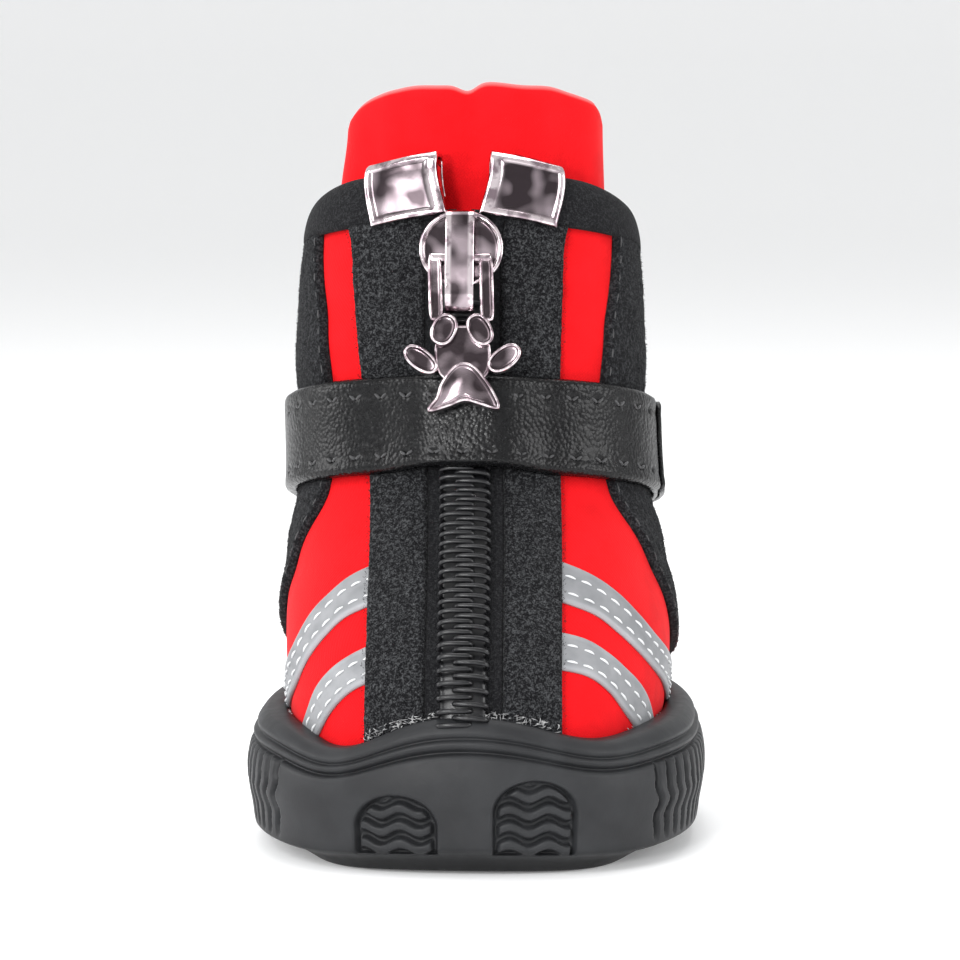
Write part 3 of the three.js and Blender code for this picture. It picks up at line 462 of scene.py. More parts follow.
class Finish:
    """A material with one Principled shader."""

    def __init__(self, name, roughness, metallic=0.0, **settings):
        self.material = bpy.data.materials.new(name)
        self.material.use_nodes = True
        self.tree = self.material.node_tree
        self.shader = self.tree.nodes["Principled BSDF"]
        self.set("Roughness", roughness)
        self.set("Metallic", metallic)
        for words, value in settings.items():
            self.set(words.replace("_", " "), value)
        self.place = self.node("ShaderNodeTexCoord", {}, {}, "Object")

    def set(self, words, value):
        """A constant or a wire on one socket of the shader."""
        plug(self.tree, value, self.shader.inputs[words])

    def node(self, kind, settings, inputs, output=0):
        """Any node: its type, then its settings, then the values or wires of its sockets."""
        node = self.tree.nodes.new(kind)
        for words, value in settings.items():
            setattr(node, words, value)
        for socket, value in inputs.items():
            plug(self.tree, value, node.inputs[socket])
        return Wire(self.tree, node.outputs[output])

    def noise(self, size_mm, detail=2.0, roughness=0.5):
        """Soft noise whose blobs are about so many millimetres across."""
        inputs = {"Vector": self.place, "Scale": 1 / (size_mm * METRES)}
        inputs.update({"Detail": detail, "Roughness": roughness})
        return self.node("ShaderNodeTexNoise", {}, inputs, 0)

    def cells(self, size_mm):
        """Pebbles: distance to the nearest of scattered points."""
        inputs = {"Vector": self.place, "Scale": 1 / (size_mm * METRES)}
        return self.node("ShaderNodeTexVoronoi", {"feature": "F1"}, inputs, "Distance")

    def cloth(self):
        """Millimetres round, millimetres up and the mark of the piece's cut or raised places; on metal the
        mark is the sunk field, which the chrome finish paints dark as a reflection.
        """
        vector = self.node("ShaderNodeAttribute", {"attribute_name": "cloth"}, {}, "Vector")
        split = self.tree.nodes.new("ShaderNodeSeparateXYZ")
        plug(self.tree, vector, split.inputs[0])
        return [Wire(self.tree, split.outputs[i]) for i in range(3)]

    def wave(self, run, pitch):
        """Sine of a length, from -1 to 1, with one wave in each pitch."""
        return (run * (2 * np.pi / pitch)).sum_of("SINE")

    def blend(self, part, first, second):
        """Colour between two colours."""
        node = self.tree.nodes.new("ShaderNodeMix")
        node.data_type = "RGBA"
        plug(self.tree, part, node.inputs[0])
        for socket, colour in ((node.inputs[6], first), (node.inputs[7], second)):
            plug(self.tree, colour if isinstance(colour, Wire) else (*colour, 1), socket)
        return Wire(self.tree, node.outputs[2])

    def bump(self, height, distance_mm, strength=1.0):
        """Normal from a height, where a height of 1 stands so many millimetres up."""
        inputs = {"Height": height, "Distance": distance_mm * METRES, "Strength": strength}
        self.set("Normal", self.node("ShaderNodeBump", {}, inputs))


print("the shader class is ready")

# %% [markdown]
# Neoprene is foam between two knit faces. Its red is deep and even, with a fine grid of stitches that
# only a near look shows, a faint fuzz at grazing angles, and a paler cut edge where the foam shows.

# %% Neoprene
def neoprene_finish(name, base, deep, cut):
    """Two reds by a fine knit and a soft mottle, and the cut colour where the mark is 1."""
    finish = Finish(name, 0.85, Sheen_Weight=0.04, Sheen_Roughness=0.5, Specular_IOR_Level=0.1)
    around, up, mark = finish.cloth()
    knit = finish.wave(around, 0.42) * finish.wave(up, 0.36)
    mottle = finish.noise(3.5, 3)
    shade = mottle.between(0.35, 0.65) * 0.6 + knit * 0.22 + 0.2
    body = finish.blend(shade, base, deep)
    finish.set("Base Color", finish.blend(mark, body, cut))
    finish.bump(knit * 0.5 + finish.noise(0.35, 2) * 1.2, 0.05, 0.6)
    return finish.material


RED = (0.72, 0.005, 0.009)
DEEP_RED = (0.58, 0.003, 0.006)
PALE_CUT = (0.72, 0.22, 0.22)
neoprene = neoprene_finish("red_neoprene", RED, DEEP_RED, PALE_CUT)
print("neoprene:", len(neoprene.node_tree.nodes), "nodes")

# %% [markdown]
# The upper is one wall, slit down the front for the zip. Its outer face is the skin with the creases,
# its inner face lies two millimetres inside, and both edges of the slit are closed by the same grid.

# %% Upper
SLIT = 3
SLIT_TOP = 6.4


def slit_half(height):
    """Half the slit's width: even up to the slider, then opening to the rim."""
    return mix(SLIT, SLIT_TOP, smoothstep(height, SLIDER_HEIGHT, RIM)) / 2


def cloth_of(share, height, mark=0.0):
    """What the finishes read: way round, way up, and a mark."""
    share, height, mark = np.broadcast_arrays(share, height, mark)
    return np.stack([share * girth(height), height, mark], axis=-1)


def soft(share, height, off):
    """A point on the creased skin."""
    return skin(share, height, off + relief(share, height))


def lattice(columns, rows):
    """Two parameters from 0 to 1 on a grid: across along the columns and up along the rows."""
    return np.meshgrid(np.linspace(0, 1, columns), np.linspace(0, 1, rows))


def rim_drop(share):
    """How far the rim falls from the zip to the sides, as cloth does between two stiff ends."""
    side = np.abs(wrap(share))
    return 0.7 * smoothstep(side, 0.1, 0.22) + 0.8 * smoothstep(side, 0.24, 0.42)


def upper_parts():
    """Share runs from one edge of the slit round the back to the other, height from the sole to the rim."""
    u, v = lattice(180, 96)
    height = mix(CLOTH_FOOT, RIM, v)
    edge = around_share(slit_half(height), height)
    share = mix(edge, 2 - edge, u)
    height = height - rim_drop(share) * smoothstep(v, 0.85, 1)
    return [wall(soft(share, height, 0.0), skin(share, height, -WALL), False, cloth_of(share, height))]


piece("upper_shell", upper_parts(), neoprene, ["upper"])

# %% [markdown]
# The sleeve stands inside the collar. It is the same neoprene, cut straight across, so its top edge
# shows the pale foam, and it folds in at the front where the zip would close it.

# %% Sleeve
SLEEVE_LOW = STRAP_LOW + STRAP_WIDTH + 2
SLEEVE_TOP = RIM + SLEEVE_RISE
SLEEVE_HALF_GIRTH = 62


def sleeve_off(share, height):
    """Inset from the skin: more towards the toe and heel ends than at the sides, once above the strap."""
    drawn = smoothstep(height, SLEEVE_LOW + 6, RIM - 4)
    end = smoothstep(np.abs(np.abs(wrap(share)) - 0.5), 0.1, 0.26)
    return -mix(WALL + 0.3, mix(2.7, 4.3, end), drawn)


def sleeve_parts():
    """A deep narrow trough at the front line, a shallow fold on each side of it, and drooping corners."""
    columns, rows = 320, 56
    v, u = np.meshgrid(np.linspace(0, 1, rows), np.arange(columns) / columns, indexing="ij")
    share = 2 * u - 1
    free = smoothstep(v, 0.55, 1)
    across = share * SLEEVE_HALF_GIRTH
    dip = np.exp(-((across / 1.6) ** 2))
    wavy = 0.22 * np.sin(3 * np.pi * share + 0.6) + 0.12 * np.sin(11 * np.pi * share) - 0.9 * dip
    corner = 2.6 * smoothstep(-share, 0.2, 0.46) * (1 - smoothstep(-share, 0.55, 0.8))
    corner = corner + 0.7 * smoothstep(share, 0.3, 0.46) * (1 - smoothstep(share, 0.55, 0.8))
    height = mix(SLEEVE_LOW, SLEEVE_TOP - 0.1, v) + (wavy - corner) * free
    trough = 0.9 * dip * smoothstep(v, 0.35, 1)
    fold = 0.35 * np.exp(-(((share - 0.13) * SLEEVE_HALF_GIRTH / 2.6) ** 2))
    fold = fold + 0.3 * np.exp(-(((share + 0.17) * SLEEVE_HALF_GIRTH / 3) ** 2))
    roll = 0.55 * smoothstep(v, 0.965, 1) ** 2
    curl = 0.32 * corner * smoothstep(v, 0.7, 1)
    off = sleeve_off(share, height) - trough - (fold - 0.15) * free * 0.8 - curl
    cut = smoothstep(v, 0.985, 1)
    cloth = cloth_of(share, height, cut * 0.8)
    return [wall(skin(share, height, off - roll), skin(share, height, off - WALL + roll), True, cloth)]


piece("sleeve_tube", sleeve_parts(), neoprene, ["sleeve"])

# %% [markdown]
# What is sewn on top is cut from the same skin: a patch is a stretch of share and height with a
# thickness that rolls down to nothing at its edge, as a folded or overlocked edge does.

# %% Patches
def border_mm(grid):
    """Shortest way in millimetres from each point of a grid to its border, by rows and by columns."""
    rows, columns = grid.shape[:2]
    steps = np.linalg.norm(np.diff(grid, axis=1), axis=-1)
    left = np.concatenate([np.zeros((rows, 1)), np.cumsum(steps, axis=1)], axis=1)
    rises = np.linalg.norm(np.diff(grid, axis=0), axis=-1)
    low = np.concatenate([np.zeros((1, columns)), np.cumsum(rises, axis=0)], axis=0)
    return np.minimum(np.minimum(left, left[:, -1:] - left), np.minimum(low, low[-1:] - low))


def rolled(distance, edge):
    """Quarter round: 0 at the border, 1 from the edge width inwards."""
    t = np.clip(distance / edge, 0, 1)
    return np.sqrt(np.maximum(1 - (1 - t) ** 2, 0))


def lumps(shape, size, amount):
    """Even random field, smoothed by repeated averaging over so many neighbours."""
    field = rng.standard_normal(shape)
    for _ in range(size):
        field = (field + np.roll(field, 1, 0) + np.roll(field, 1, 1) + np.roll(field, (1, 1), (0, 1))) / 4
    return amount * field / field.std()


def patch(share, height, thick, edge=0.5, base=0.02, rough=0.0, low=0.25):
    """A sewn-on sheet: outer face at the thickness, rolled down to a share of it at the border."""
    distance = border_mm(face(share, height))
    roll = mix(low, 1, rolled(distance, edge))
    grain = lumps(share.shape, 2, rough) * roll if rough else 0.0
    mark = 1 - smoothstep(distance, 0.1, 0.9)
    outer = soft(share, height, base + thick * roll + grain)
    return wall(outer, soft(share, height, base), False, cloth_of(share, height, mark))


def pile(share, height, off, count, tall, thin=0.045, lean=0.7):
    """Short fibres: three points on the cloth and one tip, at random places of the patch's grid."""
    i = rng.integers(0, share.shape[0], count)
    j = rng.integers(0, share.shape[1], count)
    here = share[i, j] + around_share(rng.uniform(-0.15, 0.15, count), height[i, j])
    up = height[i, j] + rng.uniform(-0.15, 0.15, count)
    root = soft(here, up, off - 0.05)
    out = outward(here, up)
    side = unit(np.cross(out, rng.standard_normal((count, 3))))
    other = np.cross(out, side)
    reach = tall * rng.uniform(0.5, 1, (count, 1))
    tip = root + reach * unit(out + lean * side * rng.uniform(0, 1, (count, 1)))
    base = [root + thin * (side * np.cos(a) + other * np.sin(a)) for a in (0, 2.1, 4.2)]
    points = np.stack([*base, tip], axis=1).reshape(-1, 3)
    corners = np.array([[0, 2, 1], [0, 1, 3], [1, 2, 3], [2, 0, 3]])
    tris = (corners[None] + 4 * np.arange(count)[:, None, None]).reshape(-1, 3)
    return part_of(points, np.zeros((0, 4), int), tris)


print("patches and pile are ready")

# %% [markdown]
# The black knit is a loop fabric. Seen near, it is black pile with grey flecks where the loops catch
# the light. The flecks follow a fine noise, and the same noise lifts the surface.

# %% Black knit
def black_knit_finish(name, grain, fleck, rough):
    """Near black cloth; the noise that sets its flecks also lifts them."""
    finish = Finish(name, rough, Sheen_Weight=0.02, Sheen_Roughness=0.6, Specular_IOR_Level=0.08)
    loops = finish.noise(grain, 2, 0.6)
    fine = finish.noise(grain * 0.45, 1)
    light = (loops * 0.5 + fine * 0.5).between(0.46, 0.74)
    finish.set("Base Color", finish.blend(light, (0.006, 0.006, 0.007), fleck))
    finish.bump(loops + fine * 0.6, 0.16, 0.8)
    return finish.material


black_pile = black_knit_finish("black_pile", 0.42, (0.085, 0.088, 0.092), 0.95)
black_tape = black_knit_finish("black_tape", 0.34, (0.035, 0.036, 0.038), 0.85)
black_band = black_knit_finish("black_band", 0.5, (0.05, 0.052, 0.055), 0.92)
black_rib = black_knit_finish("black_rib", 0.4, (0.032, 0.033, 0.035), 0.85)
print("four black knits")

# %% Front strips and zip tapes
SIDES = ((-1, "right_side"), (1, "left_side"))
STRIP_TOP = RIM - BINDING_WIDTH + 1.6
SOLE_TURN = 0.2 * SOLE_LENGTH


def sole_oval(turn):
    """Outline of the sole, by the same superellipse as the upper."""
    return oval(turn, SOLE_WIDTH / 2, -SOLE_LENGTH / 2, SOLE_LENGTH / 2, -0.07 * SOLE_LENGTH, 2.45, 2.3)


STORE_SOLE, SOLE_RUN = turns_by_share(*sole_oval(TURNS), STORE_SHARES)


def rand_top(share):
    """Height of the rubber rim: level, with a soft peak at the toe and a dip on each side of it."""
    around = wrap(share) * SOLE_RUN
    peak = TOE_PEAK * np.exp(-((around / SOLE_TURN) ** 2))
    dips = 2.3 * np.exp(-(((around + 16) / 8) ** 2)) + 1.1 * np.exp(-(((around - 17) / 8) ** 2))
    return SOLE_RIM - 0.3 + peak - dips


def front_grid(side, start, end, columns, rows, top):
    """Columns run from start to end beside the zip, rows from just inside the rubber rim to the top."""
    u, v = lattice(columns, rows)
    across = mix(start, end, u)
    foot = rand_top(side * around_share(across, SOLE_RIM)) - 0.9
    height = mix(foot, top, v)
    spread = mix(0.7, 2.2, side < 0) * smoothstep(height, STRAP_LOW, RIM - 5) + 0.3 * (side < 0)
    across = across + spread * smoothstep(across, STRIP_INNER + 1, STRIP_INNER + STRIP_WIDTH)
    widen = slit_half(height) - SLIT / 2
    return side * around_share(across + widen, height), height


for side, word in SIDES:
    share, height = front_grid(side, STRIP_INNER, STRIP_INNER + STRIP_WIDTH, 28, 180, STRIP_TOP)
    fuzz = pile(share, height, STRIP_THICK, 4400, 0.42)
    parts = [patch(share, height, STRIP_THICK - 0.05, 0.6, rough=0.05), fuzz]
    piece(f"fuzzy_strip_{word}", parts, black_pile, [f"front_strip_{word}"])
    share, height = front_grid(side, 0.15, STRIP_INNER + 0.2, 20, 150, RIM - 5)
    parts = [patch(share, height, 0.7, 0.25, rough=0.02)]
    piece(f"woven_tape_{word}", parts, black_tape, [f"zip_tape_{word}"])

# %% [markdown]
# The zip is a coil zip: two springs of plastic wire whose turns mesh down the middle. One turn is a
# hairpin that leaves the tape, rises over the middle and comes back below. An Array modifier could
# repeat it, but the zip bends down the vamp, so all hairpins are computed at once on the skin.

# %% Zip coil
COIL_FOOT = 16.3
COIL_HEAD = SLIDER_HEIGHT - 3.6
HAIRPIN_ROWS = [
    (0.98, 0.2, -0.16),
    (1.02, 0.55, -0.12),
    (0.9, 0.88, -0.06),
    (0.5, 1.0, 0),
    (0.02, 0.98, 0.02),
    (-0.26, 0.88, 0.05),
    (-0.34, 0.62, 0.08),
    (-0.2, 0.36, 0.1),
    (0.3, 0.2, 0.14),
    (0.8, 0.14, 0.2),
]


def hairpins(side, shift):
    """Each turn follows the rows: shares of half the coil's width, of its height and of a pitch along."""
    length = 200
    path = face(np.zeros(length), np.linspace(COIL_FOOT, COIL_HEAD, length))
    run = np.concatenate([[0], np.cumsum(np.linalg.norm(np.diff(path, axis=0), axis=-1))])
    count = int((run[-1] - COIL_PITCH) / COIL_PITCH)
    rows = np.array(HAIRPIN_ROWS)
    steps = np.linspace(0, len(rows) - 1, 26)
    x, off, along = (through(np.arange(len(rows)), rows[:, k], steps) for k in range(3))
    spots = (np.arange(count) + 0.5 + shift)[:, None] * COIL_PITCH + along[None] * COIL_PITCH
    height = np.interp(spots, run, np.linspace(COIL_FOOT, COIL_HEAD, length))
    base = face(0 * height, height)
    out = outward(0 * height, height)
    centres = base + out * (COIL_LOW + off[None, :, None] * (COIL_TALL - 0.1))
    centres = centres + np.array([1.0, 0, 0]) * (side * x * (COIL_WIDTH - 0.7) / 2)[None, :, None]
    return tubes(centres, out, 0.3, 9, 0.9)


def coil_core():
    """The flat core under the turns: a strip with rounded sides from the sole to the slider."""
    height = np.linspace(COIL_FOOT - 0.6, COIL_HEAD, 140)[:, None]
    across = np.linspace(-1, 1, 17)[None, :]
    top = COIL_LOW + 0.2 + 0.5 * np.sqrt(np.maximum(1 - np.abs(across) ** 3, 0))
    share = around_share(across * 2.6, height)
    return wall(skin(share, height, top), skin(share, height, COIL_LOW - 0.1), False)


coil_plastic = Finish("coil_plastic", 0.3, Specular_IOR_Level=0.42)
coil_colour = coil_plastic.blend(coil_plastic.noise(0.8), (0.004, 0.004, 0.0045), (0.012, 0.012, 0.014))
coil_plastic.set("Base Color", coil_colour)
coil_plastic.bump(coil_plastic.noise(0.25), 0.02)
coil_parts = [hairpins(-1, 0.0), hairpins(1, 0.5), coil_core()]
piece("zip_teeth", coil_parts, coil_plastic.material, ["zip_coil"])

# %% [markdown]
# Grey reflective tape crosses each side of the vamp in two arcs, sewn down with two rows of white
# thread. A row of stitches is a bundle of short bowed tubes along a line on the skin.

# %% Stitches
def stitch_line(share, height, off, stitch, space, radius, bow=0.16, wander=0.05):
    """Stitches along a line of shares and heights: each dips at its ends and bows out in the middle."""
    path = soft(share, height, off)
    run = np.concatenate([[0], np.cumsum(np.linalg.norm(np.diff(path, axis=0), axis=-1))])
    count = max(int(run[-1] / (stitch + space)), 1)
    first = (np.arange(count) + 0.5) * run[-1] / count - stitch / 2
    steps = np.linspace(0, 1, 7)
    spots = first[:, None] + steps[None] * stitch
    here = np.interp(spots, run, share)
    up = np.interp(spots, run, height) + rng.uniform(-wander, wander, (count, 1))
    lift = off - 0.1 + bow * np.sin(np.pi * steps)[None]
    centres = soft(here, up, lift)
    return tubes(centres, outward(here, up), radius * (0.55 + 0.45 * np.sin(np.pi * steps)), 7)


thread = Finish("white_thread", 0.7, Sheen_Weight=0.2)
thread.set("Base Color", thread.blend(thread.noise(0.5), (0.55, 0.56, 0.57), (0.82, 0.83, 0.84)))
thread.bump(thread.noise(0.12), 0.03)
black_thread = Finish("black_thread", 0.5, Sheen_Weight=0.2)
dark_colour = black_thread.blend(black_thread.noise(0.4), (0.012, 0.012, 0.013), (0.04, 0.04, 0.043))
black_thread.set("Base Color", dark_colour)
black_thread.bump(black_thread.noise(0.12), 0.03)
print("two threads, white and black")

# %% Reflective stripes
# Each row: share of the way round, share of the rim's height, half the stripe's width.
STRIPE_ROWS = {
    ("upper", -1): [
        (0.13, 0.408, 2.2), (0.18, 0.388, 2.25), (0.215, 0.363, 2.4), (0.25, 0.334, 2.6),
        (0.3, 0.285, 2.6), (0.36, 0.245, 2.3), (0.42, 0.208, 2.0), (0.5, 0.15, 2.0),
    ],
    ("upper", 1): [
        (0.12, 0.417, 2.2), (0.19, 0.394, 2.2), (0.236, 0.367, 2.4), (0.28, 0.336, 2.3),
        (0.33, 0.304, 2.2), (0.41, 0.266, 2.3), (0.48, 0.23, 2.2), (0.56, 0.16, 2.2),
    ],
    ("lower", -1): [
        (0.12, 0.303, 2.0), (0.16, 0.283, 2.1), (0.195, 0.256, 2.5), (0.225, 0.222, 3.0),
        (0.25, 0.185, 3.0), (0.28, 0.14, 3.0),
    ],
    ("lower", 1): [
        (0.11, 0.322, 2.0), (0.168, 0.308, 2.0), (0.208, 0.284, 2.2), (0.24, 0.256, 2.6),
        (0.28, 0.222, 3.0), (0.31, 0.19, 3.0), (0.34, 0.14, 3.0),
    ],
}
tape = Finish("reflective_tape", 0.5, 0.25, Specular_IOR_Level=0.4)
beads = tape.cells(0.16)
tape_mark = tape.cloth()[2]
grey = tape.blend(tape.noise(2.5).between(0.3, 0.7), (0.19, 0.195, 0.205), (0.26, 0.265, 0.275))
tape.set("Base Color", tape.blend(tape_mark * 0.5, grey, (0.42, 0.42, 0.44)))
tape.bump(beads * 1.0 + tape.noise(0.5) * 0.5, 0.03, 0.5)


def stripe_grid(side, rows, columns=90, lines=18):
    """A band along the rows' middle line, as wide as each row says."""
    table = np.array(rows)
    u, v = lattice(columns, lines)
    at = u * (len(rows) - 1)
    around, middle, half = (through(np.arange(len(rows)), table[:, k], at) for k in range(3))
    return side * around, middle * RIM + (2 * v - 1) * half


for side, word in SIDES:
    for name in ("upper", "lower"):
        share, height = stripe_grid(side, STRIPE_ROWS[name, side])
        parts = [patch(share, height, 0.5, 0.25, low=0.4)]
        node = f"stripe_{name}_{word}"
        piece(f"reflective_{node}", parts, tape.material, [node])
        rows_of_thread = []
        for line in (0.27, 0.7):
            index = int(line * (share.shape[0] - 1))
            rows_of_thread.append(stitch_line(share[index], height[index], 0.6, 1.3, 0.7, 0.14, 0.1))
        piece(f"stripe_{name}_thread_{word}", rows_of_thread, thread.material, [])

# %% [markdown]
# Black bands close the sides, and silver mesh covers the heel between them. Their borders are read
# from one short table, so that band and mesh always meet.

# %% Side bands and heel panel
BAND_NAMES = ("height", "front", "back")
BAND_ROWS = [
    (0.2, 0.78, 0.8),
    (0.25, 0.66, 0.7),
    (0.3, 0.54, 0.62),
    (0.34, 0.47, 0.57),
    (0.38, 0.42, 0.52),
    (0.44, 0.36, 0.47),
    (0.486, 0.316, 0.44),
    (0.54, 0.275, 0.43),
    (0.71, 0.272, 0.44),
    (0.93, 0.33, 0.47),
]


def band_edge(name, height):
    """Share of the front or the back border of the side bands at a height."""
    table = np.array(BAND_ROWS)
    return through(table[:, 0] * RIM, table[:, BAND_NAMES.index(name)], height)


def band_height(share_part, v):
    """Rows rise evenly from inside the rubber rim to the binding."""
    return mix(SOLE_RIM - 0.6, STRIP_TOP, v) + 0 * share_part


for side, word in SIDES:
    u, v = lattice(36, 170)
    height = band_height(u, v)
    share = side * mix(band_edge("front", height), band_edge("back", height), u)
    fuzz = pile(share, height, 1.08, 3600, 0.3, lean=1)
    parts = [patch(share, height, 1.05, 0.6, rough=0.03), fuzz]
    seam = []
    for column in (2, -3):
        seam.append(stitch_line(share[12:, column], height[12:, column], 1.05, 1.5, 0.8, 0.1, 0.08))
    piece(f"knit_band_{word}", parts, black_band, [f"side_band_{word}"])
    piece(f"band_thread_{word}", seam, black_thread.material, [])

silver = Finish("silver_mesh", 0.42, 0.35, Specular_IOR_Level=0.6)
eyes = silver.cells(0.6)
# Painted glints: a fine noise lifts the grey strands to near white in spots, as light sparkling on the mesh;
# the eyelets are a darker grey.
painted_glint_noise = silver.noise(0.35, 2).between(0.48, 0.62)
strand_grey_and_painted_glints = silver.blend(painted_glint_noise, (0.36, 0.365, 0.38), (0.8, 0.81, 0.84))
silver.set("Base Color", silver.blend(eyes.between(0.45, 0.68) * 0.8, strand_grey_and_painted_glints, (0.12, 0.12, 0.13)))
silver.bump(eyes * -1.2 + silver.noise(0.3) * 0.8, 0.25, 0.9)
u, v = lattice(120, 100)
height = band_height(u, v)
edge = band_edge("back", height) + around_share(0.1, height)
share = mix(edge, 2 - edge, u)
panel = patch(share, height, 0.8, 0.3, rough=0.05)
piece("heel_mesh", [panel], silver.material, ["back_panel"])

# %% [markdown]
# The binding is a ribbed elastic folded over the rim, and a metal tip is clamped over each end. Both
# are one section carried round the rim: a line of offset and height that goes up the outside, over
# the edge and down the inside.

# %% Binding
def section_line(rows, count):
    """Smooth line through rows of offset and height, with its normal to the left of the way it goes."""
    table = np.array(rows, float)
    at = np.linspace(0, len(rows) - 1, count)
    line = np.stack([through(np.arange(len(rows)), table[:, k], at) for k in range(2)], axis=-1)
    ahead = unit(np.gradient(line, axis=0))
    return line, np.stack([-ahead[:, 1], ahead[:, 0]], axis=-1)


BINDING_RIB = 0.62
BINDING_LINE = [
    (0.72, RIM - 5.9), (0.78, RIM - 4), (0.72, RIM - 2.2), (0.45, RIM - 0.9), (0.0, RIM - 0.05),
    (-0.6, RIM + 0.35), (-1.2, RIM + 0.4), (-1.7, RIM + 0.3),
]


def binding_parts():
    """The section's normal carries the thickness, and fine ribs stand across the tape."""
    rows, columns = 30, 620
    line, normal = section_line(BINDING_LINE, rows)
    u = np.linspace(0, 1, columns)[None, :]
    off, height = line[:, 0][:, None], line[:, 1][:, None]
    edge = around_share(slit_half(height) + 1, RIM)
    share = mix(edge, 2 - edge, u)
    run = np.linspace(0, 1, rows)[:, None]
    roll = 0.5 * mix(0.45, 1, rolled(np.minimum(run, 1 - run) * 11, 0.6))
    rib = 0.012 * np.sin(2 * np.pi * share * girth(RIM) / BINDING_RIB)
    height = height - rim_drop(share) * smoothstep(height, RIM - 6, RIM - 2)
    half = roll + rib
    off = off + 0 * share
    aside, upward = normal[:, 0][:, None], normal[:, 1][:, None]
    outer = skin(share, height + upward * half, off + aside * half)
    inner = skin(share, height - upward * roll, off - aside * roll)
    return [wall(outer, inner, False, cloth_of(share, height))]


piece("ribbed_binding", binding_parts(), black_rib, ["binding"])

# %% [markdown]
# Metal pieces are cast with a raised rim and a sunk field. Chrome shows what is round it, so the
# rim's slope matters more than any texture: it is real relief in the mesh. The finish also paints
# reflections: bright and dark patches on the rim, and a dark painted reflection on the sunk field,
# whose place the mark on each point gives.

# %% Chrome
chrome = Finish("pink_chrome", 0.16, 1.0)
field = chrome.cloth()[2]
# Painted reflections: a noise blends the rim between a bright and a dark pink, as mirrored studio patches
# would show; the same noise varies the roughness.
painted_reflection_noise = chrome.noise(1.6, 3)
rim_painted_reflections = chrome.blend(painted_reflection_noise.between(0.44, 0.6), (0.84, 0.74, 0.77), (0.30, 0.23, 0.26))
# Painted dark reflection: the sunk field is near black, with paler noise patches, in place of dark
# surroundings mirrored in it.
field_painted_dark_reflection = chrome.blend(chrome.noise(3, 1).between(0.42, 0.66), (0.055, 0.043, 0.048), (0.40, 0.33, 0.36))
chrome.set("Base Color", chrome.blend(field, rim_painted_reflections, field_painted_dark_reflection))
chrome.set("Roughness", painted_reflection_noise * 0.1 + field * 0.08 + 0.05)
chrome.bump(chrome.noise(0.7, 2), 0.02, 0.35)
print("chrome:", len(chrome.material.node_tree.nodes), "nodes")

# %% End tips
TIP_WIDTH = 8.3
TIP_LINE = [
    (1.95, RIM - 6.1), (1.95, RIM - 4), (1.95, RIM - 1.8), (1.92, RIM + 0.1), (1.55, RIM + 0.95),
    (0.6, RIM + 1.3), (-0.8, RIM + 1.3), (-2.0, RIM + 1.2),
    (-2.55, RIM + 0.5), (-2.6, RIM - 1), (-2.6, RIM - 3.5),
]
TIP_FOLD = 4.15
TIP_HALF = 0.3


def tip_parts(side):
    """A plate along the section line; its outer face has a rim 0.3 mm high and about 0.7 mm wide all round.
    The outer face ends at the fold, a little past the fifth row of the line."""
    rows, columns = 110, 56
    line, normal = section_line(TIP_LINE, rows)
    run = np.concatenate([[0], np.cumsum(np.linalg.norm(np.diff(line, axis=0), axis=-1))])[:, None]
    stations = np.linspace(0, rows - 1, len(TIP_LINE))
    run_at_rows = np.interp(stations, np.arange(rows), run[:, 0])
    front = float(np.interp(TIP_FOLD, np.arange(len(TIP_LINE)), run_at_rows))
    u = np.linspace(0, 1, columns)[None, :]
    inset = np.minimum(u, 1 - u) * TIP_WIDTH
    border = np.minimum(np.minimum(run, np.abs(front - run)), np.minimum(u * 0.55, 1 - u) * TIP_WIDTH)
    sunk = smoothstep(border, 0.5, 0.95) * (run < front)
    corner = 0.3 * (1 - rolled(np.minimum(inset, np.minimum(run, run[-1] - run)), 0.35))
    half = TIP_HALF + 0.14 - 0.3 * sunk - corner
    height = line[:, 1][:, None] + 0 * u
    off = line[:, 0][:, None] + 0 * u
    share = side * around_share(slit_half(height) - 0.2 + u * TIP_WIDTH, RIM)
    height = height + 0.35 * (1 - u) * smoothstep(RIM - 2 - height, -2, 4) - 0.6 * rim_drop(share)
    aside, upward = normal[:, 0][:, None], normal[:, 1][:, None]
    outer = skin(share, height - upward * half, off - aside * half)
    inner = skin(share, height + upward * TIP_HALF, off + aside * TIP_HALF)
    # The mark of the sunk field tells the chrome finish where to paint its dark reflection.
    return [wall(outer, inner, False, cloth_of(share, height, sunk))]


for side, word in SIDES:
    piece(f"metal_tip_{word}", tip_parts(side), chrome.material, [f"end_tip_{word}"])

# %% [markdown]
# The ankle strap is coated fabric with a pebbled grain. It lies on the bands and lifts over the zip.
# The grain is a cell bump, and a sewn line near each edge pulls a small dimple at every stitch.

# %% Strap leather
leather = Finish("grained_leather", 0.38, Specular_IOR_Level=0.22)
pebble = leather.cells(0.5)
crumb = leather.noise(0.5, 2)
tone = leather.noise(5, 2).between(0.35, 0.65)
leather.set("Base Color", leather.blend(tone, (0.003, 0.003, 0.0035), (0.006, 0.006, 0.0065)))
leather.set("Roughness", crumb * 0.16 + 0.2)
leather.bump(pebble * -1 + crumb * 0.5, 0.12, 0.6)
print("leather:", len(leather.material.node_tree.nodes), "nodes")

# %% Ankle strap
COIL_FACE = COIL_LOW + COIL_TALL
STITCH_PITCH = 3.0
STITCH_INSET = 2.1


def strap_off(share, height):
    """Clearance of the strap's inner face: over the bands at the sides, over the teeth in front."""
    across = wrap(share) * girth(height)
    over = 1 - smoothstep(np.abs(across), COIL_WIDTH / 2, COIL_WIDTH / 2 + 7)
    return mix(1.1, COIL_FACE, over) + 0.3


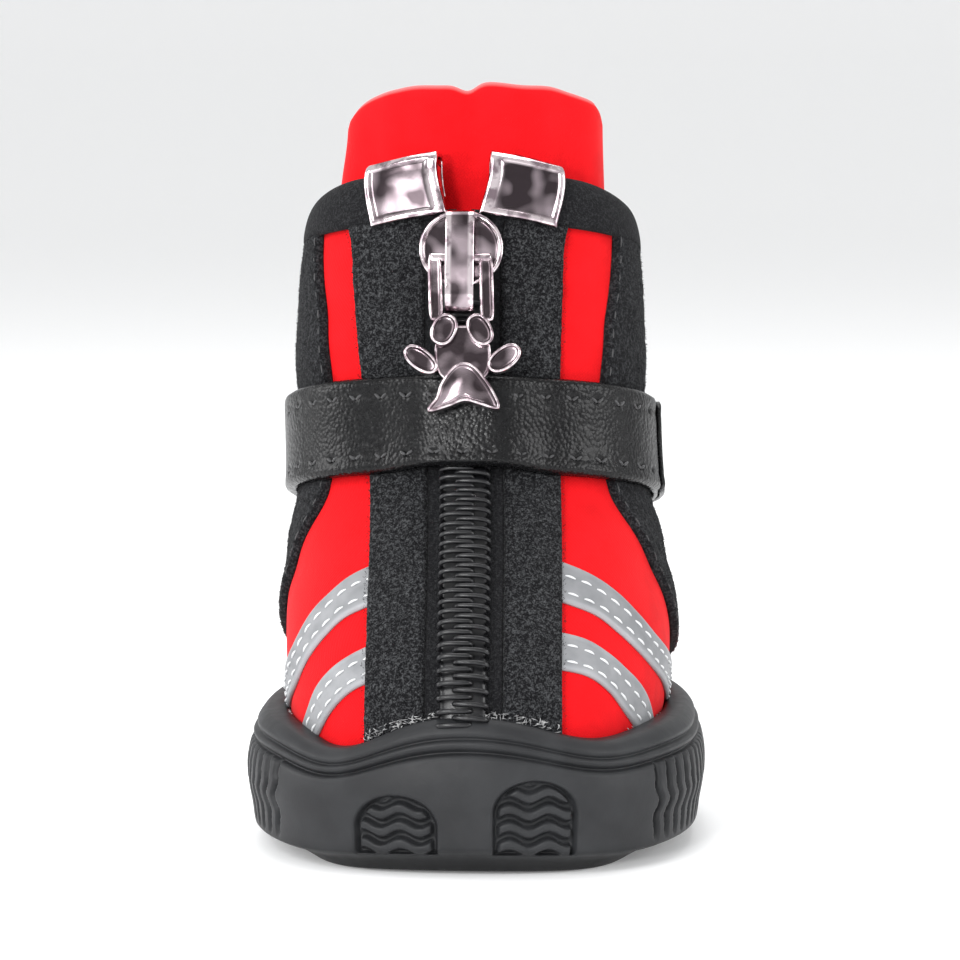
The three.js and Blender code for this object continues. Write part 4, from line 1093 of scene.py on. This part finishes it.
def strap_lift(share, height, thick):
    """Outer face: thick less a roll at the edges, and a dimple at each stitch along two sewn lines."""
    across = wrap(share) * girth(STRAP_LOW + STRAP_WIDTH / 2)
    inset = np.minimum(height - STRAP_LOW, STRAP_LOW + STRAP_WIDTH - height)
    roll = mix(0.5, 1, rolled(inset, 0.8))
    line = np.exp(-(((inset - STITCH_INSET) / 0.42) ** 2))
    stitch = 0.5 + 0.5 * np.cos(2 * np.pi * across / STITCH_PITCH)
    sway = 0.08 * np.sin(across / 5.3 + 0.4) + 0.05 * np.sin(across / 2.9)
    return thick * roll - line * (0.03 + 0.32 * stitch ** 7) + sway * rolled(inset, 2)


def strap_thick(share):
    """The ring is pressed thinner where its tail lies on it."""
    share = wrap(share)
    return STRAP_THICK - 0.6 * smoothstep(share, 0.41, 0.46) * (1 - smoothstep(share, 0.76, 0.82))


def strap_threads(first, last, extra):
    """Two rows of paired short threads: a shallow V in each dimple."""
    parts = []
    length = girth(STRAP_LOW + STRAP_WIDTH / 2)
    numbers = np.arange(np.ceil(first * length / STITCH_PITCH), np.floor(last * length / STITCH_PITCH))
    steps = np.linspace(-1, 1, 7)
    for row in (STRAP_LOW + STITCH_INSET, STRAP_LOW + STRAP_WIDTH - STITCH_INSET):
        for tilt in (-0.55, 0.55):
            across = numbers[:, None] * STITCH_PITCH + tilt * 0.7 + 0.3 * steps[None]
            up = row + np.sign(tilt) * 0.3 * steps[None] * 0.8 + 0 * across
            share = across / length
            off = strap_off(share, up) + extra + 0.84 * STRAP_THICK + 0.1 * np.cos(steps)[None]
            centres = skin(share, up, off)
            parts.append(tubes(centres, outward(share, up), 0.17 * (0.6 + 0.4 * np.cos(steps * 1.4)), 7))
    return parts


def strap_parts():
    """A closed ring: rows across the strap's width, columns round the leg."""
    columns, rows = 520, 40
    v, u = np.meshgrid(np.linspace(0, 1, rows), np.arange(columns) / columns, indexing="ij")
    share = 2 * u - 1
    height = STRAP_LOW + STRAP_WIDTH * v
    base = strap_off(share, height)
    outer = skin(share, height, base + strap_lift(share, height, strap_thick(share)))
    return [wall(outer, skin(share, height, base), True, cloth_of(share, height))]


TAIL_START = 0.43
TAIL_END = 0.8
TAIL_THICK = 0.75
TAIL_LENGTH = 17


def tail_parts():
    """The tail lies on the ring, with rounded corners at its free end."""
    u, v = lattice(120, 44)
    share = mix(TAIL_START, TAIL_END, u)
    trim = 1 - rolled(u * TAIL_LENGTH, 2.6)
    height = STRAP_LOW + STRAP_WIDTH / 2 + (v - 0.5) * (STRAP_WIDTH - 4.4 * trim)
    base = strap_off(share, height) + strap_thick(share) + 0.04
    ends = mix(0.5, 1, rolled(np.minimum(u, 1 - u) * TAIL_LENGTH, 0.6))
    outer = skin(share, height, base + strap_lift(share, height, TAIL_THICK) * ends)
    return [wall(outer, skin(share, height, base), False, cloth_of(share, height))]


piece("leather_strap", strap_parts(), leather.material, ["ankle_strap"])
piece("leather_tail", tail_parts(), leather.material, ["strap_tail"])
piece("strap_thread", strap_threads(-1, 0.41, 0), black_thread.material, [])
piece("tail_thread", strap_threads(0.46, 0.79, TAIL_THICK - 0.6), black_thread.material, [])

# %% [markdown]
# A loop of webbing at the heel helps pull the boot on. Its ribs run across, and the fold leans back.

# %% Pull loop
LOOP_WIDTH = 12
LOOP_RISE = 18
LOOP_RIB = 0.8
LOOP_ROWS = [
    (0.33, 0), (0.33, 0.4), (0.9, 0.62), (1, 0.84), (0.6, 0.95), (0.1, 0.975),
    (-0.4, 0.95), (-0.5, 0.88), (-0.33, 0.76), (-0.33, 0.4), (-0.33, 0),
]


def loop_parts():
    """The line goes up the outer leg, over the fold and down the inner leg; ribs swell along it."""
    rows = [(-WALL - 1.2 + out * 1.3, RIM - 3 + height * LOOP_RISE) for out, height in LOOP_ROWS]
    line, normal = section_line(rows, 150)
    run = np.concatenate([[0], np.cumsum(np.linalg.norm(np.diff(line, axis=0), axis=-1))])[:, None]
    u = np.linspace(0, 1, 40)[None, :]
    share = 1 + around_share((u - 0.5) * LOOP_WIDTH, RIM) + 0 * run
    weave = 0.08 * np.sin(2 * np.pi * run / LOOP_RIB)
    half = 0.4 * mix(0.5, 1, rolled(np.minimum(u, 1 - u) * LOOP_WIDTH, 0.5)) + weave
    off, height = line[:, 0][:, None], line[:, 1][:, None]
    outer = skin(share, height + normal[:, 1][:, None] * half, off + normal[:, 0][:, None] * half)
    inner = skin(share, height - normal[:, 1][:, None] * half, off - normal[:, 0][:, None] * half)
    return [wall(outer, inner, False, cloth_of(share, height))]


piece("webbing_loop", loop_parts(), black_tape, ["pull_loop"])

# %% [markdown]
# The slider and its pull are castings. Each bean of the paw is a small medal: rings that start at the
# middle of the back, go round the edge, over the raised rim and down to the sunk field. A medal takes
# any outline, so beans, arms, disc and pad share one function.

# %% Medals
PLATE_ACROSS = np.array([1.0, 0, 0])
PLATE_OUT = outward(0.0, SLIDER_HEIGHT)
PLATE_UP = np.cross(PLATE_OUT, PLATE_ACROSS)
PLATE_ORIGIN = face(0.0, SLIDER_HEIGHT)
PULL_TILT = np.radians(5)
PLATE_LENGTH = 8.4
PLATE_THICK = 1.2
PIN_RADIUS = 0.6
SLIDER_OFF = COIL_FACE + 0.3
PLATE_FACE = SLIDER_OFF + PLATE_THICK
PIVOT_UP = -0.22 * PLATE_LENGTH
PIVOT_OFF = PLATE_FACE + 0.3 + PIN_RADIUS


def on_slider(points):
    """From the slider's own across, up and out to the boot."""
    across, up, out = points[..., :1], points[..., 1:2], points[..., 2:]
    return PLATE_ORIGIN + across * PLATE_ACROSS + up * PLATE_UP + out * PLATE_OUT


def on_pull(points):
    """From the pull's own frame, whose origin is its pin and which leans out a little, to the boot."""
    x, y, z = np.moveaxis(points, -1, 0)
    x = x - 0.045 * y
    up = y * np.cos(PULL_TILT) + z * np.sin(PULL_TILT) + PIVOT_UP
    out = z * np.cos(PULL_TILT) - y * np.sin(PULL_TILT) + PIVOT_OFF
    return on_slider(np.stack([x, up, out], axis=-1))


def bean(x, y, half_width, half_height, turn=0.0, square=2.2, count=72):
    """Outline of a turned superellipse."""
    angle = np.linspace(0, 2 * np.pi, count, endpoint=False)
    cos, sin = np.cos(angle), np.sin(angle)
    flat = np.stack([
        half_width * np.sign(cos) * np.abs(cos) ** (2 / square),
        half_height * np.sign(sin) * np.abs(sin) ** (2 / square),
    ], axis=-1)
    swing = np.radians(turn)
    turned = np.array([[np.cos(swing), np.sin(swing)], [-np.sin(swing), np.cos(swing)]])
    return flat @ turned + np.array([x, y])


def closed_curve(rows, count=120):
    """Smooth closed outline through rows of x and y."""
    table = np.array(rows, float)
    around = np.concatenate([table[-3:], table, table[:3]])
    at = np.linspace(0, len(rows), count, endpoint=False)
    keys = np.arange(len(around)) - 3
    return np.stack([through(keys, around[:, k], at) for k in range(2)], axis=-1)


def medal(outline, thick, rim, sunk, place, lift=0.0, dome=0.0):
    """Rings of inset and height: flat back, round edge, a raised rim so wide, and a field so deep."""
    ahead = unit(np.roll(outline, -1, 0) - np.roll(outline, 1, 0))
    inward = np.stack([-ahead[:, 1], ahead[:, 0]], axis=-1)
    middle = outline.mean(axis=0)
    if np.sum(inward * (middle - outline)) < 0:
        inward = -inward
    half = thick / 2
    reach = np.linalg.norm(outline - middle, axis=1).min()
    rows = [
        (0.8 * reach, -half, 0), (0.3, -half, 0), (0.1, -half + 0.05, 0), (0, -half + 0.2, 0),
        (0, half - 0.2, 0), (0.06, half - 0.06, 0), (0.18, half, 0), (rim * 0.6, half, 0),
        (rim * 0.8, half - 0.08, 0.2), (rim, half - sunk * 0.9, 1), (rim + 0.2, half - sunk, 1),
        (max(0.75 * reach, rim + 0.25), half - sunk + dome, 1),
    ]
    table = np.array(rows)
    at = np.linspace(0, len(rows) - 1, 3 * len(rows))
    inset, height, mark = (np.interp(at, np.arange(len(rows)), table[:, k]) for k in range(3))
    shrink = np.minimum(inset, 0.9 * reach)
    flat = outline[None] + inward[None] * shrink[:, None, None]
    far = (shrink / max(reach, 0.01))[:, None, None]
    flat = mix(flat, middle + (outline[None] - middle) * (1 - far), smoothstep(far, 0.35, 0.8))
    level = np.broadcast_to((height + lift)[:, None, None], (*flat.shape[:2], 1))
    rings = np.concatenate([flat, level], axis=-1)
    # The field's mark tells the chrome finish where to paint its dark reflection.
    marks = np.broadcast_to(mark[:, None], flat.shape[:2])
    cloth = np.stack([0 * marks, 0 * marks, marks], axis=-1)
    return stack(place(rings), cloth)


print("the pull's pin stands", round(float(PIVOT_OFF), 2), "mm off the skin")

# %% Slider
def rail(rows, width, thick, rim, place, count=70, columns=26):
    """A bar seen from its edge follows rows of up and out; its outer face is a channel between two rims."""
    line, normal = section_line(rows, count)
    u = np.linspace(-1, 1, columns)[None, :]
    inset = (1 - np.abs(u)) * width / 2
    sunk = smoothstep(inset, rim * 0.7, rim)
    outer_half = thick / 2 * rolled(inset + 0.05, 0.2) - 0.28 * sunk
    x = u * width / 2 + 0 * line[:, :1]
    pair = []
    for half in (outer_half, -thick / 2 + 0 * outer_half):
        up = line[:, :1] + normal[:, :1] * half
        out = line[:, 1:] + normal[:, 1:] * half
        pair.append(place(np.stack([x, up + 0 * x, out + 0 * x], axis=-1)))
    # The channel's mark tells the chrome finish where to paint its dark reflection.
    marks = np.broadcast_to(sunk, x.shape)
    return wall(pair[0], pair[1], False, np.stack([0 * x, 0 * x, marks], axis=-1))


BRIDGE_ROWS = [
    (2.9, PLATE_FACE - 0.3), (3.35, PLATE_FACE + 0.7), (3.05, PLATE_FACE + 1.75), (2.1, PLATE_FACE + 2.25),
    (0.7, PLATE_FACE + 2.35), (-1.1, PLATE_FACE + 2.4), (-3.2, PLATE_FACE + 2.35), (-5.2, PLATE_FACE + 2.2),
    (-6.9, PLATE_FACE + 1.8), (-7.9, PLATE_FACE + 0.9), (-7.8, PLATE_FACE + 0.3),
]
slider_parts = [
    medal(bean(0, -0.5, 4.95, 4.5, 0, 2.1, 120), PLATE_THICK, 0.7, 0.3, on_slider, SLIDER_OFF + 0.6),
    rail(BRIDGE_ROWS, 3.3, 0.9, 0.75, on_slider),
]
for side in (-1, 1):
    flange = bean(side * 3.85, -0.7, 0.45, 2.1, 0, 5, 48)
    slider_parts.append(medal(flange, 2.4, 0.3, 0.05, on_slider, SLIDER_OFF - 1.1))
piece("cast_slider", slider_parts, chrome.material, ["zip_slider"])

# %% Pull with paw
PAD_ROWS = [
    (0.05, 2.8), (1.4, 2.3), (2.74, 0.65), (3.64, -0.92), (4.15, -2.35), (3.6, -2.85), (1.85, -2.35),
    (0.05, -1.9), (-1.74, -2.55), (-3.85, -3.2), (-4.3, -2.7), (-3.3, -1.37), (-2.64, 0.43), (-1.29, 2.22),
]
pad = closed_curve(PAD_ROWS) + np.array([0.05, -15.45])
pull_parts = [
    medal(bean(-3.0, -3.7, 0.85, 4.0, 0, 5), 1.1, 0.36, 0.22, on_pull),
    medal(bean(3.0, -3.7, 0.85, 4.0, 0, 5), 1.1, 0.36, 0.22, on_pull),
    medal(bean(-2.1, -8.75, 1.5, 2.0, -26), 1.3, 0.45, 0.45, on_pull, 0.08),
    medal(bean(2.1, -8.75, 1.45, 2.0, 26), 1.3, 0.45, 0.45, on_pull, 0.08),
    medal(bean(-4.9, -12.35, 2.25, 1.3, -38), 1.3, 0.42, 0.45, on_pull, 0.08),
    medal(bean(4.85, -12.15, 2.25, 1.3, 38), 1.3, 0.42, 0.45, on_pull, 0.08),
    medal(bean(0.0, -11.6, 3.3, 3.5, 0, 2.6), 0.6, 0.3, 0.12, on_pull, -0.25),
    medal(pad, 1.3, 0.42, 0.4, on_pull, 0.05, 0.12),
]
pin_line = np.stack([np.linspace(-3.6, 3.6, 24), np.zeros(24), np.zeros(24)], axis=-1)
pull_parts.append(tubes(on_pull(pin_line)[None], PLATE_OUT, 0.58, 16))
piece("paw_pull", pull_parts, chrome.material, ["pull_tab"], "pull")

# %% [markdown]
# The cup sole is one rubber moulding. A side profile is carried round the sole's outline, from the
# underside up the wall to the rim band and down inside the cup. The recesses at the toe, the wavy ribs
# of the flanks and the tread are depths taken off that surface, each a function of the way round and
# the height, so that no boolean is needed and every edge stays soft, as rubber from a mould is.

# %% Sole outline and underside
def sole_point(share):
    """Point of the sole's outline: share is 0 at the toe and 1 at the heel (+X side)."""
    share = wrap(share)
    turn = np.interp(np.abs(share), STORE_SHARES, STORE_SOLE)
    x, y = sole_oval(turn)
    return np.stack([np.sign(share) * x, y], axis=-1)


def sole_out(share):
    """Outward normal of that outline, by the difference of near points."""
    ahead = unit(sole_point(share + 0.004) - sole_point(share - 0.004))
    return np.stack([ahead[..., 1], -ahead[..., 0]], axis=-1)


def underside(y):
    """Height above the floor: toe spring, a low arch and heel spring, with two flat stretches."""
    toe_start, heel_end = -0.34 * SOLE_LENGTH, 0.37 * SOLE_LENGTH
    toe = 0.8 * (np.maximum(toe_start - y, 0) / (toe_start + SOLE_LENGTH / 2)) ** 2
    heel = 0.9 * (np.maximum(y - heel_end, 0) / (SOLE_LENGTH / 2 - heel_end)) ** 2
    arch = 0.8 * np.maximum(1 - ((y - 0.06 * SOLE_LENGTH) / (0.12 * SOLE_LENGTH)) ** 2, 0)
    return toe + heel + arch


print("sole outline", round(2 * float(SOLE_RUN), 1), "mm round")

# %% Relief of the rubber
POCKETS = ((-7.7, 6.9), (8.5, 8.8))
POCKET_WIDTH = 10
POCKET_LOW = 2.3
RIB_START = 0.25
RIB_PITCH = 2.3
RIB_COUNT = 10
TREAD_PITCH = 8.6


def pocket_depth(around, height):
    """Arched recess with a deep border; the wavy ridges inside it stand up to near the surface."""
    depth = 0 * around
    for middle, tall in POCKETS:
        x, y = around - middle, height - POCKET_LOW
        rise = 0.8 * POCKET_WIDTH / 2
        over = np.maximum(y - tall + rise, 0) / 0.8
        inside = POCKET_WIDTH / 2 - np.hypot(x, over)
        hole = smoothstep(inside, -0.1, 0.4) * smoothstep(y, -0.3, 0.1)
        wave = 0.4 * np.sin(2 * np.pi * x / 4.6 + 0.3 * middle)
        ridge = 0.5 + 0.5 * np.cos(2 * np.pi * (y + wave - 0.75) / 2.1)
        moat = 1 - smoothstep(inside, 0.45, 0.9)
        groove = 0.22 + 1.2 * (1 - smoothstep(ridge, 0.05, 0.7))
        depth = depth + hole * mix(groove, 1.35, moat)
    return depth


def rib_depth(around, height):
    """Upright wavy grooves on both flanks, fading above and below."""
    first = RIB_START * SOLE_RUN
    x = np.abs(around) - first + 0.35 * np.sin(2 * np.pi * height / 4.6 + 0.5) + 0.15 * np.sin(height * 2.3)
    ahead = smoothstep(x, -RIB_PITCH / 2, -0.2)
    inside = ahead * smoothstep(-x, -(RIB_COUNT - 0.5) * RIB_PITCH, -(RIB_COUNT - 1) * RIB_PITCH)
    groove = np.clip(np.cos(2 * np.pi * x / RIB_PITCH), 0, 1) ** 0.9
    fade = smoothstep(height, 2.6, 4.4) * (1 - smoothstep(height, 11.4, 12.3))
    return 1.05 * groove ** 1.6 * inside * fade


def tread_depth(x, y):
    """Wavy grooves across the underside, soft sided."""
    start = -SOLE_LENGTH / 2 + 0.8 * TREAD_PITCH
    bend = y - start - 1.1 * np.sin(2 * np.pi * 2 * (x + SOLE_WIDTH / 2) / SOLE_WIDTH)
    near = np.abs((bend + TREAD_PITCH / 2) % TREAD_PITCH - TREAD_PITCH / 2)
    row = np.round(bend / TREAD_PITCH)
    return 1.6 * (1 - smoothstep(near, 0.55, 1.05)) * (row >= 1) * (row <= 6)


print(len(POCKETS), "toe recesses and", RIB_COUNT, "grooves on each flank")

# %% Outsole
SOLE_COLUMNS = 600
# Each row: inset from the outline in millimetres, and share of the rubber rim's height.
PROFILE_ROWS = [
    (3.6, 0), (3.3, 0.012), (2.7, 0.05), (2.05, 0.09), (1.3, 0.118), (0.9, 0.13),
    (0.7, 0.14), (0.5, 0.152), (0.4, 0.18), (0.28, 0.3), (0.08, 0.45), (0, 0.6),
    (0.25, 0.71), (0.55, 0.762), (1.3, 0.782), (1.05, 0.80), (0.8, 0.822), (0.85, 0.85),
    (1.5, 0.868), (1.3, 0.885), (1.25, 0.915), (1.6, 0.95), (2.0, 0.975), (2.5, 0.995),
]


def sole_shares():
    """Columns round the sole, closer together where the toe recesses and the flank ribs are."""
    spots = np.linspace(-1, 1, 4001)
    dense = 0.55 + 1.1 * (np.abs(spots) < 0.19) + 0.85 * ((np.abs(spots) > 0.22) & (np.abs(spots) < 0.5))
    run = np.concatenate([[0], np.cumsum((dense[1:] + dense[:-1]) / 2)])
    return np.interp(np.arange(SOLE_COLUMNS) / SOLE_COLUMNS * run[-1], run, spots)


def outsole_parts():
    """Rings from the middle of the underside to the edge, up the wall, over the rim and down the cup."""
    share = sole_shares()[None, :]
    around = share * SOLE_RUN
    edge, out = sole_point(share), sole_out(share)
    table = np.array(PROFILE_ROWS)
    at = np.linspace(0, len(PROFILE_ROWS) - 1, 2000)
    inset, rise = (through(np.arange(len(PROFILE_ROWS)), table[:, k], at) for k in range(2))
    run = np.concatenate([[0], np.cumsum(np.hypot(np.diff(inset), np.diff(rise) * SOLE_RIM))])
    even = np.linspace(0, run[-1], 104)
    inset, rise = (np.interp(even, run, values)[:, None] for values in (inset, rise))
    flank = smoothstep(np.abs(share), 0.12, 0.35)
    inset = inset * np.where(rise < 0.5, mix(1, 2.1, flank), 1)
    top = rand_top(share)
    height = rise * top
    carve = pocket_depth(around + 0 * rise, height) + rib_depth(around + 0 * rise, height)
    carve = carve * (rise > 0.02) * (rise < 0.78)
    wall_xy = edge - out * (inset + carve)[..., None]
    z = height + underside(wall_xy[..., 1]) * np.clip(1 - rise, 0, 1)
    side_rings = np.concatenate([wall_xy, z[..., None]], axis=-1)
    scale = np.linspace(0.04, 0.985, 26)[:, None, None]
    low_xy = side_rings[:1, :, :2] * scale
    low_z = underside(low_xy[..., 1]) + tread_depth(low_xy[..., 0], low_xy[..., 1])
    low_rings = np.concatenate([low_xy, low_z[..., None]], axis=-1)
    near_edge = smoothstep(inset, 2.5, 5) * (rise < 0.2)
    side_rings[..., 2] += near_edge * tread_depth(wall_xy[..., 0], wall_xy[..., 1])
    inside = []
    for part, gap in ((1.0, 0.75), (0.985, 0.25), (0.9, 0.2), (0.7, 0.3), (0.45, 0.3)):
        level = part * top
        inner = skin(share, np.maximum(level, CLOTH_FOOT), gap)
        inner[..., 2] = level
        inside.append(inner)
    floor = inside[-1].copy()
    floor[..., 2] = TREAD
    inside.append(floor)
    for shrink in (0.7, 0.4, 0.12):
        ring = floor * np.array([shrink, shrink, 1])
        inside.append(ring)
    rings = np.concatenate([low_rings, side_rings, np.concatenate(inside)])
    return [stack(rings, np.stack([0 * rings[..., 0], rings[..., 2], 0 * rings[..., 0]], axis=-1))]


rubber = Finish("moulded_rubber", 0.5, Specular_IOR_Level=0.26)
dust = rubber.noise(6, 3).between(0.4, 0.7)
wall_colour = rubber.blend(dust, (0.015, 0.0155, 0.017), (0.023, 0.024, 0.026))
# Painted shade: below about 3.4 mm up, the rubber is blended towards near black, as the underside bevel lies
# in shadow.
lower = 1 - rubber.cloth()[1].between(1.2, 3.4)
rubber.set("Base Color", rubber.blend(lower * 0.8, wall_colour, (0.004, 0.004, 0.0045)))
rubber.set("Roughness", rubber.noise(1.4, 2) * 0.16 + 0.42)
rubber.bump(rubber.noise(0.3, 2), 0.03, 0.4)
piece("rubber_sole", outsole_parts(), rubber.material, ["outsole"])

# %% Insole
def insole_parts():
    """Rings of the foot's oval: flat below, rounded at the edge, a little dished on top."""
    share = (2 * np.arange(160) / 160 - 1)[None, :]
    rows = [
        (0.2, CLOTH_FOOT), (1, CLOTH_FOOT), (1, 5.2), (1, 7.1), (0.985, 7.5),
        (0.93, 7.55), (0.7, 7.25), (0.35, 7.05), (0.08, 7.0),
    ]
    rings = []
    for scale, level in rows:
        ring = skin(share, 5.5, -WALL - 0.25) * np.array([scale, scale, 0])
        ring[..., 2] = level
        rings.append(ring)
    return [stack(np.concatenate(rings))]


foam = Finish("insole_foam", 0.95)
foam.set("Base Color", foam.blend(foam.noise(0.8), (0.02, 0.02, 0.022), (0.05, 0.05, 0.055)))
foam.bump(foam.cells(0.5), 0.1, 0.6)
piece("foam_insole", insole_parts(), foam.material, ["insole"])

# %% [markdown]
# Where the cloth goes into the rubber, frayed ends of grey and pale thread show along the rim.

# %% Rim thread
def fray_parts():
    """Short bowed fibres just above the rubber, denser near the zip."""
    count = 260
    side = rng.choice([-1, 1], count)
    near = rng.random(count) < 0.62
    share = side * np.where(near, rng.uniform(0, 0.125, count), rng.uniform(0.24, 0.36, count))
    height = rand_top(share * girth(SOLE_RIM) / SOLE_RUN) + rng.uniform(-0.5, 0.3, count)
    steps = np.linspace(0, 1, 5)
    length = rng.uniform(0.25, 0.75, (count, 1))
    angle = rng.uniform(-0.5, 0.5, (count, 1)) + (rng.random((count, 1)) < 0.3) * 1.3
    here = share[:, None] + around_share(np.cos(angle) * length * (steps - 0.5)[None], SOLE_RIM)
    up = height[:, None] + np.sin(angle) * length * (steps - 0.5)[None]
    base = np.where(np.abs(share) * girth(SOLE_RIM) < 11.5, 1.2, 0.3)[:, None]
    off = base + 0.3 * np.sin(np.pi * steps)[None]
    return [tubes(skin(here, up, off), outward(here, up), 0.04, 5)]


fray = Finish("frayed_thread", 0.8)
fray_part = fray.noise(0.6).between(0.35, 0.65)
fray.set("Base Color", fray.blend(fray_part, (0.10, 0.10, 0.105), (0.5, 0.5, 0.5)))
fray.bump(fray.noise(0.12), 0.03)
piece("rim_thread", fray_parts(), fray.material, [])

# %% [markdown]
# The studio is a pale floor that curves up into a wall all round, as a paper cove does, so that no
# horizon shows from any side. The paper glows a little, which keeps the wall as white as the floor.
# Above it is a white sky, and soft boxes stand in front and at the sides so that metal and leather
# have something bright to mirror.

# %% Floor
COVE_ROWS = [(0, 0), (0.6, 0), (1.5, 0), (2.2, 0.08), (2.7, 0.4), (2.95, 1.0), (3.0, 2.0)]
COVE_RINGS = 60
COVE_COLUMNS = 96


def cove():
    """A profile of radius and height in metres turned once round the boot."""
    at = np.linspace(0, len(COVE_ROWS) - 1, COVE_RINGS)
    table = np.array(COVE_ROWS)
    radius, height = (np.interp(at, np.arange(len(COVE_ROWS)), table[:, k]) for k in range(2))
    turn = 2 * np.pi * np.arange(COVE_COLUMNS) / COVE_COLUMNS
    radius = np.maximum(radius, 0.001)[:, None]
    rings = np.stack([radius * np.cos(turn), radius * np.sin(turn), height[:, None] + 0 * turn], axis=-1)
    mesh = bpy.data.meshes.new("floor")
    quads = grid_quads(COVE_RINGS, COVE_COLUMNS, True)[:, ::-1]
    mesh.from_pydata(rings.reshape(-1, 3).tolist(), [], quads.tolist())
    mesh.polygons.foreach_set("use_smooth", np.ones(len(mesh.polygons), bool))
    return mesh


floor_mesh = cove()
floor = bpy.data.objects.new("floor", floor_mesh)
bpy.context.scene.collection.objects.link(floor)
paper = Finish("pale_paper", 0.9, Emission_Color=(1, 1, 1, 1), Emission_Strength=0.12)
paper.set("Base Color", (0.88, 0.885, 0.89, 1))
floor_mesh.materials.append(paper.material)
print(len(floor_mesh.polygons), "faces of paper")

# %% Lights
def soft_box(name, place, aim, size, watts):
    """A square area light that looks at a point."""
    lamp = bpy.data.lights.new(name, "AREA")
    lamp.shape = "SQUARE"
    lamp.size = size
    lamp.energy = watts
    made = bpy.data.objects.new(name, lamp)
    made.location = place
    direction = Vector(aim) - Vector(place)
    made.rotation_euler = direction.to_track_quat("-Z", "Y").to_euler()
    bpy.context.scene.collection.objects.link(made)


MIDDLE = (0, 0, 0.045)
soft_box("front_box", (-0.28, -0.5, 0.42), MIDDLE, 0.3, 2.2)
soft_box("glint_box", (-0.16, -0.62, 0.17), MIDDLE, 0.07, 1.5)
soft_box("left_box", (-0.5, 0.0, 0.2), MIDDLE, 0.25, 1.1)
soft_box("right_box", (0.5, -0.15, 0.22), MIDDLE, 0.25, 1.1)
soft_box("top_box", (0.0, 0.2, 0.6), MIDDLE, 0.4, 2.2)
sky = bpy.data.worlds.new("white_room")
sky.use_nodes = True
sky.node_tree.nodes["Background"].inputs["Color"].default_value = (1, 1, 1, 1)
sky.node_tree.nodes["Background"].inputs["Strength"].default_value = 0.75
bpy.context.scene.world = sky
bpy.context.scene.view_settings.view_transform = "Standard"
print("five soft boxes and a white sky")

# %% [markdown]
# The camera stands where the photographer's did: half a metre off, ten centimetres up, a little to
# the boot's left, and looks at the middle of the boot through a long lens.

# %% Camera
CAMERA_TURN = np.radians(3.5)
CAMERA_AWAY = 0.492
lens = bpy.data.cameras.new("photo_view")
lens.lens = 154.6
lens.sensor_width = 36
camera = bpy.data.objects.new("photo_view", lens)
camera.location = (CAMERA_AWAY * np.sin(CAMERA_TURN), -CAMERA_AWAY * np.cos(CAMERA_TURN), 0.096)
look = Vector((0, 0, 0.0416)) - camera.location
camera.rotation_euler = look.to_track_quat("-Z", "Y").to_euler()
bpy.context.scene.collection.objects.link(camera)
bpy.context.scene.camera = camera
print("camera at", [round(value, 3) for value in camera.location])

# %% Sizes
print(sum(PIECES.values()), "triangles in", len(PIECES), "pieces")
